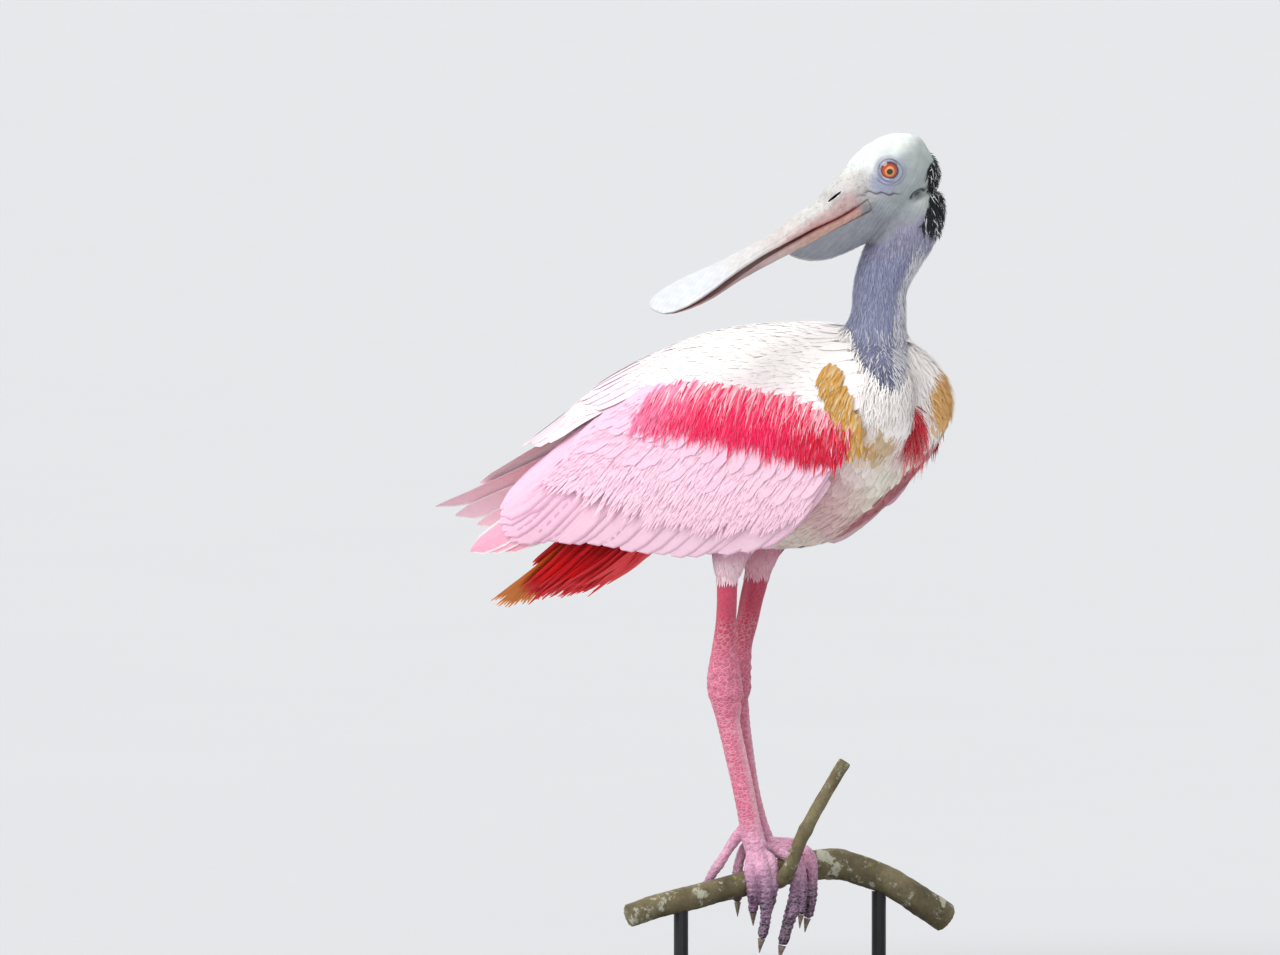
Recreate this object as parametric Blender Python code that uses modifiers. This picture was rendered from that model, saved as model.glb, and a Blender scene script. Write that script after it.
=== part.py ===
"""A roseate spoonbill, life size, gripping a cut branch that a plain display stand holds up.

Metres, +Z up. +X is the way the breast faces and +Y is the bird's left. Heights below are measured from
the top of the branch under the feet, and the finished parts are lifted so that the base stands on z = 0.
"""

import math

import bmesh
import bpy
import numpy as np
from mathutils import Matrix, Vector

# The collections that hold the finished parts, and what is joined to them or cut from them
BIRD = "roseate_spoonbill"
CUTTERS = "cutters"

# Clearances and thin forms
GAP = 0.00035
ROOM = 0.00045
VANE = 0.0006
SHINGLE = 0.0008
# Points closer than this are welded
WELD = 1e-6
# How far back a grown bill reaches, as a multiple of its growth
CUTTER_BACK = 4

# Whole model
FEET_HEIGHT = 0.090
BASE_SIZE = (0.270, 0.190, 0.012)
BASE_CENTRE = (-0.012, -0.010)
BASE_ROUNDING = 0.0025
ROD_RADIUS = 0.0045
ROD_PLACES = (-0.066, 0.066)

# Facets: sides round a form and steps along it
TRUNK_RINGS = 14
TRUNK_SIDES = 20
NECK_SIDES = 18
NECK_STEPS = 5
SKULL_SIDES = 16
SKULL_STEPS = 9
BALL_SIDES = 14
BALL_ROWS = 8
LID_STEPS = 12
LID_SIDES = 4
SMALL_SIDES = 10
SMALL_ROWS = 6
UPPER_BILL_FACETS = (9, 16)
LOWER_BILL_FACETS = (8, 14)
POUCH_FACETS = (9, 7)
THIGH_SIDES = 16
THIGH_STEPS = 6
LEG_SIDES = 12
SHANK_STEPS = 7
TARSUS_STEPS = 9
ANKLE_STEPS = 3
BRANCH_STEPS = 16
TWIG_STEPS = 8
ROUND_LEVEL = 3
FINE_LEVEL = 2
# Degrees between faces from which an edge stays sharp
SHARP_EDGE = 40.0

# Folded-wing surface: x, centre height, rise above it, drop below it, half width
WING_BED = (
    (-0.300, 0.180, 0.026, 0.034, 0.017),
    (-0.240, 0.197, 0.031, 0.038, 0.022),
    (-0.200, 0.211, 0.038, 0.046, 0.027),
    (-0.165, 0.226, 0.0455, 0.058, 0.034),
    (-0.130, 0.239, 0.057, 0.072, 0.041),
    (-0.090, 0.250, 0.066, 0.086, 0.048),
    (-0.045, 0.260, 0.071, 0.097, 0.053),
    (0.000, 0.266, 0.071, 0.100, 0.055),
    (0.040, 0.271, 0.067, 0.096, 0.054),
    (0.075, 0.277, 0.059, 0.080, 0.051),
    (0.095, 0.281, 0.049, 0.062, 0.046),
    (0.120, 0.284, 0.030, 0.030, 0.030),
)

# Trunk without the wings: x, top, bottom, half width
TRUNK = (
    (-0.172, 0.2360, 0.2350, 0.001),
    (-0.168, 0.250, 0.228, 0.010),
    (-0.150, 0.268, 0.217, 0.019),
    (-0.125, 0.2905, 0.207, 0.028),
    (-0.090, 0.3170, 0.199, 0.0385),
    (-0.050, 0.3310, 0.195, 0.0460),
    (0.000, 0.3365, 0.194, 0.0495),
    (0.035, 0.3375, 0.200, 0.0495),
    (0.062, 0.3370, 0.215, 0.0490),
    (0.082, 0.3340, 0.232, 0.0475),
    (0.096, 0.3275, 0.248, 0.0435),
    (0.106, 0.3160, 0.262, 0.0350),
    (0.1115, 0.3030, 0.276, 0.0200),
    (0.1135, 0.2920, 0.288, 0.0020),
)
BREAST_GROOVE = 0.009
BREAST_GROOVE_START = 0.06
BREAST_GROOVE_WIDTH = 0.013

# Neck path: x, y, z, radius
NECK = (
    (0.0480, 0.000, 0.2880, 0.0360),
    (0.0610, 0.000, 0.3090, 0.0300),
    (0.0700, 0.000, 0.3270, 0.0225),
    (0.0742, 0.000, 0.3440, 0.0176),
    (0.0752, 0.000, 0.3610, 0.0170),
    (0.0790, 0.001, 0.3735, 0.0178),
    (0.0850, 0.003, 0.3860, 0.0190),
    (0.0915, 0.006, 0.4000, 0.0200),
    (0.0950, 0.008, 0.4120, 0.0190),
    (0.0950, 0.009, 0.4210, 0.0160),
)
NECK_CUTS = (0.33, 0.60)

# Head, in its own frame: x along the bill, z through the crown
HEAD_CENTRE = (0.0903, 0.0, 0.4258)
HEAD_TURN = 131.6
HEAD_DIP = 27.0
HEAD_ROLL = 12.0
BILL_AXIS_RISE = 0.005
BILL_BASE = 0.0250
# x, top, bottom, half width
SKULL = (
    (-0.0253, 0.0030, -0.0010, 0.0025),
    (-0.0245, 0.0125, -0.0060, 0.0075),
    (-0.0210, 0.0203, -0.0130, 0.0125),
    (-0.0155, 0.0246, -0.0170, 0.0165),
    (-0.0063, 0.0285, -0.0200, 0.0185),
    (0.0036, 0.0291, -0.0215, 0.0185),
    (0.0146, 0.0276, -0.0225, 0.0170),
    (0.0227, 0.0245, -0.0235, 0.0148),
    (0.0250, 0.0230, -0.0240, 0.0142),
)
UPPER_BILL = (
    (0.0250, 0.0223, 0.0030, 0.0140),
    (0.0355, 0.0188, 0.0014, 0.0129),
    (0.0420, 0.0167, 0.0007, 0.0123),
    (0.0500, 0.0127, 0.0007, 0.0118),
    (0.0635, 0.0107, 0.0016, 0.0112),
    (0.0737, 0.0087, 0.0015, 0.0105),
    (0.0857, 0.0063, 0.0014, 0.0101),
    (0.0980, 0.0058, 0.0015, 0.0101),
    (0.1120, 0.0052, 0.0013, 0.0124),
    (0.1270, 0.0042, 0.0010, 0.0165),
    (0.1410, 0.0034, 0.0006, 0.0210),
    (0.1530, 0.0028, 0.0003, 0.0230),
    (0.1630, 0.0024, 0.0001, 0.0216),
    (0.1695, 0.0021, 0.0000, 0.0173),
    (0.1732, 0.0016, 0.0000, 0.0105),
    (0.1746, 0.0012, 0.0001, 0.0035),
)
LOWER_BILL = (
    (0.0250, 0.0024, -0.0100, 0.0130),
    (0.0420, 0.0002, -0.0102, 0.0116),
    (0.0630, 0.0003, -0.0100, 0.0106),
    (0.0750, -0.0003, -0.0092, 0.0100),
    (0.0900, -0.0010, -0.0088, 0.0098),
    (0.1030, -0.0016, -0.0083, 0.0106),
    (0.1170, -0.0022, -0.0074, 0.0134),
    (0.1300, -0.0026, -0.0070, 0.0172),
    (0.1410, -0.0024, -0.0062, 0.0210),
    (0.1520, -0.0016, -0.0048, 0.0228),
    (0.1620, -0.0009, -0.0034, 0.0214),
    (0.1685, -0.0006, -0.0024, 0.0170),
    (0.1722, -0.0005, -0.0018, 0.0100),
    (0.1734, -0.0005, -0.0014, 0.0032),
)
POUCH = (
    (0.0250, -0.0060, -0.0260, 0.0124),
    (0.0270, -0.0060, -0.0265, 0.0123),
    (0.0350, -0.0060, -0.0270, 0.0116),
    (0.0430, -0.0060, -0.0270, 0.0108),
    (0.0530, -0.0060, -0.0263, 0.0098),
    (0.0620, -0.0060, -0.0247, 0.0086),
    (0.0690, -0.0060, -0.0218, 0.0072),
    (0.0755, -0.0060, -0.0175, 0.0056),
    (0.0817, -0.0060, -0.0115, 0.0040),
)
EYE_PLACE = (0.0050, 0.0122, 0.0135)
EYE_RADIUS = 0.0072
LID_RADIUS = 0.0051
LID_THICKNESS = 0.0011
LID_SETBACK = 0.6
LID_FLATNESS = 0.86
EYE_AXIS = (0.18, 1.0, 0.10)
EAR_PLACE = (-0.0060, 0.0155, -0.0110)
EAR_SIZE = (0.0034, 0.0040, 0.0022)
NOSTRIL_PLACE = (0.0434, 0.0085, 0.0126)
NOSTRIL_SIZE = (0.0050, 0.0013, 0.0010)
NOSTRIL_TILT = -16.0
HORN_SECTION = 0.8

# Legs: x, y, z, radius front to back, from the feathered thigh to the foot. The right leg is the near one
RIGHT_LEG = (
    (-0.0264, -0.0200, 0.1760, 0.0068),
    (-0.0273, -0.0190, 0.1630, 0.0067),
    (-0.0296, -0.0170, 0.1475, 0.0069),
    (-0.0322, -0.0150, 0.1320, 0.0083),
    (-0.0334, -0.0132, 0.1183, 0.0108),
    (-0.0333, -0.0122, 0.1070, 0.0116),
    (-0.0319, -0.0120, 0.0970, 0.0098),
    (-0.0308, -0.0120, 0.0870, 0.0078),
    (-0.0270, -0.0120, 0.0727, 0.0073),
    (-0.0208, -0.0122, 0.0507, 0.0071),
    (-0.0161, -0.0124, 0.0320, 0.0070),
    (-0.0125, -0.0127, 0.0175, 0.0075),
    (-0.0085, -0.0131, 0.0080, 0.0078),
)
LEFT_LEG = (
    (-0.0315, 0.0200, 0.1760, 0.0080),
    (-0.0347, 0.0190, 0.1630, 0.0077),
    (-0.0367, 0.0170, 0.1490, 0.0073),
    (-0.0391, 0.0145, 0.1345, 0.0070),
    (-0.0400, 0.0125, 0.1220, 0.0083),
    (-0.0405, 0.0110, 0.1095, 0.0093),
    (-0.0398, 0.0100, 0.1000, 0.0080),
    (-0.0371, 0.0095, 0.0877, 0.0065),
    (-0.0349, 0.0090, 0.0753, 0.0063),
    (-0.0303, 0.0082, 0.0515, 0.0063),
    (-0.0257, 0.0068, 0.0360, 0.0063),
    (-0.0192, 0.0045, 0.0206, 0.0066),
    (-0.0120, 0.0020, 0.0100, 0.0066),
)
LEG_FLATNESS = 0.82
LEG_START = 0.004
SHANK_END = 0.435
TARSUS_END = 0.845
# Thigh: x, y, z, radius
RIGHT_THIGH = (
    (-0.0150, -0.0190, 0.230, 0.0220),
    (-0.0195, -0.0190, 0.212, 0.0200),
    (-0.0235, -0.0194, 0.197, 0.0160),
    (-0.0255, -0.0198, 0.1865, 0.0128),
    (-0.0264, -0.0200, 0.1765, 0.0098),
)
LEFT_THIGH = (
    (-0.0180, 0.0190, 0.230, 0.0220),
    (-0.0230, 0.0190, 0.212, 0.0200),
    (-0.0270, 0.0194, 0.197, 0.0160),
    (-0.0295, 0.0198, 0.1865, 0.0130),
    (-0.0314, 0.0200, 0.1765, 0.0104),
)
THIGH_FLATNESS = 0.84

# Branch: distance along it, sideways bow, height of the axis, radius
BRANCH_TURN = 55.0
BRANCH = (
    (-0.102, 0.0040, -0.0300, 0.0073),
    (-0.078, 0.0010, -0.0241, 0.0076),
    (-0.053, 0.0000, -0.0193, 0.0077),
    (-0.023, 0.0000, -0.0126, 0.0078),
    (-0.005, 0.0000, -0.0079, 0.0084),
    (0.013, 0.0000, -0.0038, 0.0094),
    (0.033, 0.0000, -0.0024, 0.0100),
    (0.0465, 0.0000, -0.0045, 0.0096),
    (0.073, 0.0000, -0.0148, 0.0092),
    (0.100, -0.0020, -0.0312, 0.0095),
    (0.112, -0.0040, -0.0390, 0.0096),
)
# Twig: distance along the branch, in front of it, height, radius
TWIG = (
    (-0.0035, 0.0020, -0.0115, 0.0052),
    (-0.0035, 0.0110, -0.0100, 0.0052),
    (-0.0020, 0.0195, -0.0040, 0.0048),
    (0.0010, 0.0215, 0.0040, 0.0045),
    (0.0060, 0.0220, 0.0165, 0.0043),
    (0.0150, 0.0225, 0.0326, 0.0042),
    (0.0268, 0.0232, 0.0520, 0.0041),
    (0.0345, 0.0240, 0.0640, 0.0042),
)

# Toes: distance along the branch, in front of it, height, radius; their roots are in the foot
RIGHT_TOES = {
    "middle": (
        (-0.0155, 0.0010, 0.0055, 0.0058),
        (-0.0158, 0.0068, 0.0022, 0.0052),
        (-0.0155, 0.0112, -0.0035, 0.0048),
        (-0.0146, 0.0130, -0.0112, 0.0044),
        (-0.0140, 0.0132, -0.0226, 0.0040),
        (-0.0143, 0.0124, -0.0350, 0.0036),
        (-0.0163, 0.0112, -0.0462, 0.0031),
    ),
    "outer": (
        (-0.0165, 0.0000, 0.0050, 0.0056),
        (-0.0215, 0.0060, -0.0010, 0.0045),
        (-0.0230, 0.0112, -0.0088, 0.0040),
        (-0.0224, 0.0112, -0.0160, 0.0037),
        (-0.0213, 0.0092, -0.0235, 0.0034),
        (-0.0204, 0.0068, -0.0300, 0.0030),
    ),
    "inner": (
        (-0.0150, 0.0010, 0.0055, 0.0054),
        (-0.0100, 0.0066, 0.0030, 0.0043),
        (-0.0092, 0.0112, -0.0032, 0.0038),
        (-0.0090, 0.0120, -0.0112, 0.0035),
        (-0.0088, 0.0100, -0.0190, 0.0032),
        (-0.0086, 0.0070, -0.0262, 0.0028),
    ),
    "hind": (
        (-0.0180, -0.0040, 0.0225, 0.0040),
        (-0.0215, -0.0085, 0.0205, 0.0036),
        (-0.0280, -0.0105, 0.0115, 0.0034),
        (-0.0350, -0.0110, 0.0010, 0.0032),
        (-0.0415, -0.0112, -0.0080, 0.0030),
        (-0.0465, -0.0112, -0.0175, 0.0026),
    ),
}
LEFT_TOES = {
    "middle": (
        (-0.0060, -0.0070, 0.0090, 0.0056),
        (-0.0010, -0.0020, 0.0070, 0.0050),
        (0.0040, 0.0070, 0.0040, 0.0045),
        (0.0068, 0.0132, -0.0045, 0.0042),
        (0.0060, 0.0128, -0.0150, 0.0042),
        (0.0040, 0.0118, -0.0275, 0.0041),
        (0.0005, 0.0112, -0.0400, 0.0039),
        (-0.0025, 0.0110, -0.0510, 0.0034),
    ),
    "inner": (
        (-0.0050, -0.0065, 0.0090, 0.0054),
        (0.0015, 0.0000, 0.0085, 0.0044),
        (0.0065, 0.0090, 0.0045, 0.0037),
        (0.0085, 0.0150, -0.0040, 0.0034),
        (0.0088, 0.0165, -0.0150, 0.0032),
        (0.0088, 0.0160, -0.0260, 0.0030),
        (0.0085, 0.0150, -0.0315, 0.0026),
    ),
    "outer": (
        (-0.0055, -0.0085, 0.0100, 0.0054),
        (0.0020, -0.0065, 0.0110, 0.0045),
        (0.0105, 0.0010, 0.0100, 0.0040),
        (0.0155, 0.0100, 0.0050, 0.0038),
        (0.0165, 0.0135, -0.0060, 0.0037),
        (0.0162, 0.0132, -0.0170, 0.0036),
        (0.0158, 0.0120, -0.0270, 0.0034),
        (0.0145, 0.0105, -0.0345, 0.0030),
    ),
    "hind": (
        (-0.0070, -0.0090, 0.0160, 0.0040),
        (-0.0125, -0.0125, 0.0135, 0.0036),
        (-0.0195, -0.0135, 0.0065, 0.0034),
        (-0.0232, -0.0128, -0.0040, 0.0032),
        (-0.0240, -0.0118, -0.0160, 0.0030),
        (-0.0248, -0.0095, -0.0250, 0.0027),
    ),
}
CLAW_LENGTH = 0.0090
CLAW_STEPS = 4
CLAW_HOOK = 0.35
CLAW_WIDTH = 0.80
CLAW_TAPER = 0.88
PAD_SIZE = (0.0066, 0.0064, 0.0066)

# Outline of a vane: share of its length and share of its width
FLIGHT_SHAPE = ((0.0, 0.66), (0.45, 1.0), (0.88, 0.84), (1.0, 0.20))
COVERT_SHAPE = ((0.0, 0.80), (0.62, 1.0), (1.0, 0.24))
LOCK_SHAPE = ((0.0, 0.9), (0.55, 0.8), (1.0, 0.12))

# Wing: x, lowest and highest degrees of the covered arm
ARM = (
    (-0.128, 16.0, 33.0),
    (-0.110, 4.0, 38.0),
    (-0.085, -6.0, 42.0),
    (-0.044, -20.0, 43.0),
    (0.003, -29.0, 36.0),
    (0.040, -31.0, 30.0),
    (0.065, -27.0, 20.0),
    (0.085, -19.0, 10.0),
    (0.093, -13.0, 4.0),
)
ARM_STEPS = 10
ARM_SHARES = (0.0, 0.18, 0.5, 0.82, 1.0)
ARM_OUTER = 0.0038
ARM_INNER = -0.0058
ARM_RIM = 0.0012

# Wing feathers: their first and last roots and tips, as x and degrees round the folded wing
FLIGHT_ROOTS = ((0.066, -22), (0.010, -14), (-0.045, 4), (-0.082, 20), (-0.084, 31))
FLIGHT_TIPS = {
    "right": ((0.008, -43), (-0.064, -44), (-0.132, -37), (-0.188, -26), (-0.197, 4)),
    "left": ((0.008, -43), (-0.064, -44), (-0.132, -37), (-0.196, -14), (-0.232, 74)),
}
FLIGHT_COUNT = 11
GREATER_ROOTS = ((0.074, -10), (0.020, 0), (-0.040, 18), (-0.078, 33))
GREATER_TIPS = ((0.044, -32), (-0.028, -27), (-0.096, -12), (-0.150, 10))
GREATER_COUNT = 7
MEDIAN_ROOTS = ((0.082, 0), (0.030, 14), (-0.030, 29), (-0.070, 37))
MEDIAN_TIPS = ((0.066, -19), (0.005, -12), (-0.060, 5), (-0.112, 25))
MEDIAN_COUNT = 7
BAND_ROOTS = ((0.086, 5), (0.045, 25), (0.000, 34), (-0.058, 41))
BAND_TIPS = ((0.079, -14), (0.035, -2), (-0.014, 6), (-0.080, 17))
BAND_COUNT = 8
PRIMARY_ROOTS = ((-0.070, -4), (-0.086, 4), (-0.094, 12))
PRIMARY_COUNT = 4
PRIMARY_TIPS = {
    "right": ((-0.184, -31), (-0.208, -30), (-0.226, -22)),
    "left": ((-0.222, -4), (-0.252, 20), (-0.266, 70)),
}
# Widths of the first and last vane, how high they lie and how far their roots sink
FLIGHT_FORM = ((0.0220, 0.0290), -0.0026, 0.0)
GREATER_FORM = ((0.022, 0.027), -0.0002, 0.0)
MEDIAN_FORM = ((0.022, 0.025), 0.0021, 0.0)
BAND_FORM = ((0.0170, 0.0185), 0.0043, 0.0016)
PRIMARY_FORM = ((0.018, 0.020), -0.0044, 0.0)

# Long feathers over the back
SCAPULAR_ROOTS = ((-0.070, 52), (-0.060, 66), (-0.052, 80), (-0.050, 94))
SCAPULAR_TIPS = ((-0.160, 44), (-0.178, 55), (-0.187, 70), (-0.191, 90))
SCAPULAR_COUNT = 4
SCAPULAR_WIDTH = 0.024
SCAPULAR_SINK = 0.0045
SCAPULAR_LIFT = 0.0008
SCAPULAR_STEP = 0.0010

# Hanging locks of the breast: x and z of their roots and tips
TUFT_TOP = (0.0900, 0.2900)
TUFT_END = (0.1020, 0.2520)
TUFT_COUNT = 6
TUFT_SPREAD = (0.012, 0.024)
TUFT_STAGGER = 0.005
TUFT_BULGE = 0.008
LOCK_WIDTH = 0.0056
LOCK_THICKNESS = 0.0010

# Tail
TAIL_ROOT = (-0.1400, 0.0, 0.2105)
TAIL_ROOT_SIZE = (0.036, 0.016, 0.008)
TAIL_DIP = 42.0
TAIL_LENGTH = 0.088
TAIL_SPREAD = 18.0
TAIL_COUNT = 7
TAIL_ROOT_TILT = -12.0
TAIL_ROOT_SHIFT = (0.018, 0.0, -0.0075)
TAIL_ROOT_ROOM = 0.0050
TAIL_WIDTH = 0.0180
TAIL_REACH = 0.006
TAIL_ARCH = 0.0040
TAIL_COVERTS = 4
TAIL_COVERT_SIZE = (0.050, 0.017)
TAIL_COVERT_LIFT = 0.0028
TAIL_COVERT_SPREAD = 16.0
# Feathers under the tail: x and z of the first and last row's roots and tips
VENT_ROOTS = ((-0.146, 0.208), (-0.118, 0.200), (-0.092, 0.197))
VENT_TIPS = ((-0.196, 0.158), (-0.170, 0.159), (-0.136, 0.168))
VENT_ROWS = 3
VENT_COLUMNS = 3
VENT_WIDTH = 0.019
VENT_BEND = 0.003
# How wide the rows are, how much wider at the tips, and how much higher at the sides
VENT_SPREAD = (0.0070, 0.0115)
VENT_FAN = 1.7
VENT_CURL = (0.004, 0.006)

# Colours
PALE_PINK = (0.86, 0.62, 0.70)
WHITE = (0.88, 0.86, 0.84)
LEG_RED = (0.62, 0.13, 0.20)
SLATE = (0.36, 0.37, 0.46)
HEAD_GREY = (0.62, 0.66, 0.63)
BILL_GREY = (0.70, 0.70, 0.70)
ORANGE = (0.86, 0.27, 0.04)
EYE_RED = (0.60, 0.16, 0.03)
CLAW_BROWN = (0.25, 0.20, 0.17)
BARK = (0.24, 0.21, 0.13)
STAND_BLACK = (0.04, 0.04, 0.045)


def clear_scene():
    for obj in list(bpy.data.objects):
        bpy.data.objects.remove(obj)


def material(name, colour, roughness=0.6, metallic=0.0):
    made = bpy.data.materials.get(name) or bpy.data.materials.new(name)
    made.use_nodes = True
    shader = made.node_tree.nodes["Principled BSDF"]
    shader.inputs["Base Color"].default_value = (*colour, 1.0)
    shader.inputs["Roughness"].default_value = roughness
    shader.inputs["Metallic"].default_value = metallic
    return made


def add_object(name, points, faces, finish=None):
    """A mesh object in the bird's collection, its normals facing out."""
    mesh = bpy.data.meshes.new(name)
    mesh.from_pydata([tuple(p) for p in points], [], faces)
    body = bmesh.new()
    body.from_mesh(mesh)
    bmesh.ops.recalc_face_normals(body, faces=body.faces)
    body.to_mesh(mesh)
    body.free()
    obj = bpy.data.objects.new(name, mesh)
    bpy.data.collections[BIRD].objects.link(obj)
    if finish:
        mesh.materials.append(finish)
    return obj


def curve_value(table, x):
    """The columns of a station table at x, on a smooth curve through its rows."""
    rows = np.array(table, float)
    stations, values = rows[:, 0], rows[:, 1:]
    slopes = np.gradient(values, stations, axis=0)
    x = min(max(x, stations[0]), stations[-1])
    i = min(int(np.searchsorted(stations, x, side="right")) - 1, len(stations) - 2)
    span = stations[i + 1] - stations[i]
    t = (x - stations[i]) / span
    h00 = 2 * t**3 - 3 * t**2 + 1
    h10 = t**3 - 2 * t**2 + t
    h01 = -2 * t**3 + 3 * t**2
    h11 = t**3 - t**2
    made = h00 * values[i] + h01 * values[i + 1]
    made = made + span * (h10 * slopes[i] + h11 * slopes[i + 1])
    return [float(v) for v in made]


def path_value(rows, t):
    """The row at share t of a path whose rows are evenly numbered."""
    numbered = [(i, *row) for i, row in enumerate(rows)]
    return curve_value(numbered, t * (len(rows) - 1))


def loft(name, rings, finish=None):
    """A closed solid through rings of equal counts, its ends filled."""
    count = len(rings[0])
    points = [p for ring in rings for p in ring]
    faces = []
    for i in range(len(rings) - 1):
        for j in range(count):
            k = (j + 1) % count
            a, b = i * count + j, i * count + k
            faces.append((a, b, b + count, a + count))
    faces.append(tuple(range(count - 1, -1, -1)))
    last = (len(rings) - 1) * count
    faces.append(tuple(range(last, last + count)))
    return add_object(name, points, faces, finish)


def path_heading(path, t):
    """The direction of a path at share t, and the length of path per unit of share."""
    before, after = max(t - 0.01, 0.0), min(t + 0.01, 1.0)
    run = Vector(path_value(path, after)[:3]) - Vector(path_value(path, before)[:3])
    return run.normalized(), run.length / (after - before)


def path_gap(path, t, distance=GAP):
    """The share of a path that covers a distance at share t."""
    return distance / path_heading(path, t)[1]


def tube(name, path, start, end, steps, sides, finish=None, grow=0.0, flat=1.0):
    """A limb along rows of x, y, z, radius, from share start to share end, grown all round by grow."""
    rings = []
    side = Vector((0, 1, 0))
    for i in range(steps + 1):
        share = start + (end - start) * i / steps
        row = path_value(path, share)
        along = path_heading(path, share)[0]
        side = (side - along * side.dot(along)).normalized()
        other = along.cross(side)
        centre = Vector(row[:3]) + along * grow * ((i == steps) - (i == 0))
        ring = []
        for j in range(sides):
            a = 2 * math.pi * j / sides
            wide, deep = row[3] * flat + grow, row[3] + grow
            ring.append(centre + wide * math.cos(a) * side + deep * math.sin(a) * other)
        rings.append(ring)
    return loft(name, rings, finish)


def rod_curve(name, points, radii, sides_level, finish=None):
    """A wire through the points as a mesh, its caps welded."""
    curve = bpy.data.curves.new(name, "CURVE")
    curve.dimensions = "3D"
    curve.bevel_depth = 1.0
    curve.bevel_resolution = sides_level
    curve.use_fill_caps = True
    spline = curve.splines.new("POLY")
    spline.points.add(len(points) - 1)
    for knot, place, radius in zip(spline.points, points, radii):
        knot.co = (*place, 1.0)
        knot.radius = radius
    wire = bpy.data.objects.new(name + "_line", curve)
    bpy.context.scene.collection.objects.link(wire)
    graph = bpy.context.evaluated_depsgraph_get()
    mesh = bpy.data.meshes.new_from_object(wire.evaluated_get(graph))
    body = bmesh.new()
    body.from_mesh(mesh)
    bmesh.ops.remove_doubles(body, verts=body.verts, dist=WELD)
    bmesh.ops.recalc_face_normals(body, faces=body.faces)
    body.to_mesh(mesh)
    body.free()
    mesh.materials.clear()
    obj = bpy.data.objects.new(name, mesh)
    obj.matrix_world = wire.matrix_world
    bpy.data.objects.remove(wire)
    bpy.data.collections[BIRD].objects.link(obj)
    if finish:
        mesh.materials.append(finish)
    return obj


def keep_largest(obj):
    """Keeps the largest closed surface of a mesh, so that no sealed hollow or scrap is left."""
    body = bmesh.new()
    body.from_mesh(obj.data)
    left = set(body.verts)
    shells = []
    while left:
        seed = left.pop()
        shell, queue = {seed}, [seed]
        while queue:
            for edge in queue.pop().link_edges:
                for vert in edge.verts:
                    if vert in left:
                        left.discard(vert)
                        shell.add(vert)
                        queue.append(vert)
        shells.append(shell)

    def room(shell):
        places = np.array([v.co for v in shell])
        return float(np.prod(np.ptp(places, axis=0) + 1e-9))

    shells.sort(key=room, reverse=True)
    for shell in shells[1:]:
        bmesh.ops.delete(body, geom=list(shell), context="VERTS")
    bmesh.ops.triangulate(body, faces=body.faces)
    body.to_mesh(obj.data)
    body.free()


def combine(obj, others, operation):
    """Joins others to obj, or cuts them from it, as one applied Boolean."""
    cutters = bpy.data.collections[CUTTERS]
    for other in others:
        cutters.objects.link(other)
    modifier = obj.modifiers.new("combine", "BOOLEAN")
    modifier.operation = operation
    modifier.operand_type = "COLLECTION"
    modifier.collection = cutters
    modifier.solver = "EXACT"
    bpy.context.view_layer.update()
    graph = bpy.context.evaluated_depsgraph_get()
    made = bpy.data.meshes.new_from_object(obj.evaluated_get(graph))
    obj.modifiers.clear()
    obj.data = made
    for other in others:
        bpy.data.objects.remove(other)
    keep_largest(obj)
    return obj


def ellipsoid(name, centre, radii, finish, sides, rows, frame=None):
    body = bmesh.new()
    bmesh.ops.create_uvsphere(body, u_segments=sides, v_segments=rows, radius=1.0)
    place = Matrix.Translation(centre) @ Matrix.Diagonal((*radii, 1.0))
    body.transform((frame or Matrix.Identity(4)) @ place)
    mesh = bpy.data.meshes.new(name)
    body.to_mesh(mesh)
    body.free()
    obj = bpy.data.objects.new(name, mesh)
    bpy.data.collections[BIRD].objects.link(obj)
    if finish:
        mesh.materials.append(finish)
    return obj


# Feathers on the folded-wing surface


def bed_point(side, x, degrees, lift):
    """A point on the folded-wing surface, raised by lift. Zero degrees is the widest line and 90 the back."""
    centre, rise, drop, width = curve_value(WING_BED, x)
    angle = math.radians(degrees)
    height = rise if angle >= 0 else drop
    flat = Vector((x, side * width * math.cos(angle), centre + height * math.sin(angle)))
    outward = Vector((0, side * math.cos(angle) / width, math.sin(angle) / height))
    return flat + outward.normalized() * lift


def bed_radius(x, degrees):
    """Length of a degree's worth of the surface, per radian."""
    _, rise, drop, width = curve_value(WING_BED, x)
    angle = math.radians(degrees)
    height = rise if angle >= 0 else drop
    return math.hypot(width * math.sin(angle), height * math.cos(angle))


def strip_solid(name, upper, lower):
    """A thin closed strip from two grids of points, split into triangles alike on both faces."""
    rows, columns = len(upper), len(upper[0])
    points = [p for row in upper for p in row] + [p for row in lower for p in row]
    shift = rows * columns
    faces = []
    for i in range(rows - 1):
        for j in range(columns - 1):
            a, b = i * columns + j, i * columns + j + 1
            c, d = a + columns, b + columns
            faces += [(a, b, d), (a, d, c)]
            faces += [(a + shift, d + shift, b + shift), (a + shift, c + shift, d + shift)]
    rim = [j for j in range(columns)]
    rim += [i * columns + columns - 1 for i in range(1, rows)]
    rim += [(rows - 1) * columns + j for j in range(columns - 2, -1, -1)]
    rim += [i * columns for i in range(rows - 2, 0, -1)]
    for a, b in zip(rim, rim[1:] + rim[:1]):
        faces += [(a, a + shift, b + shift), (a, b + shift, b)]
    return add_object(name, points, faces)


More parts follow.
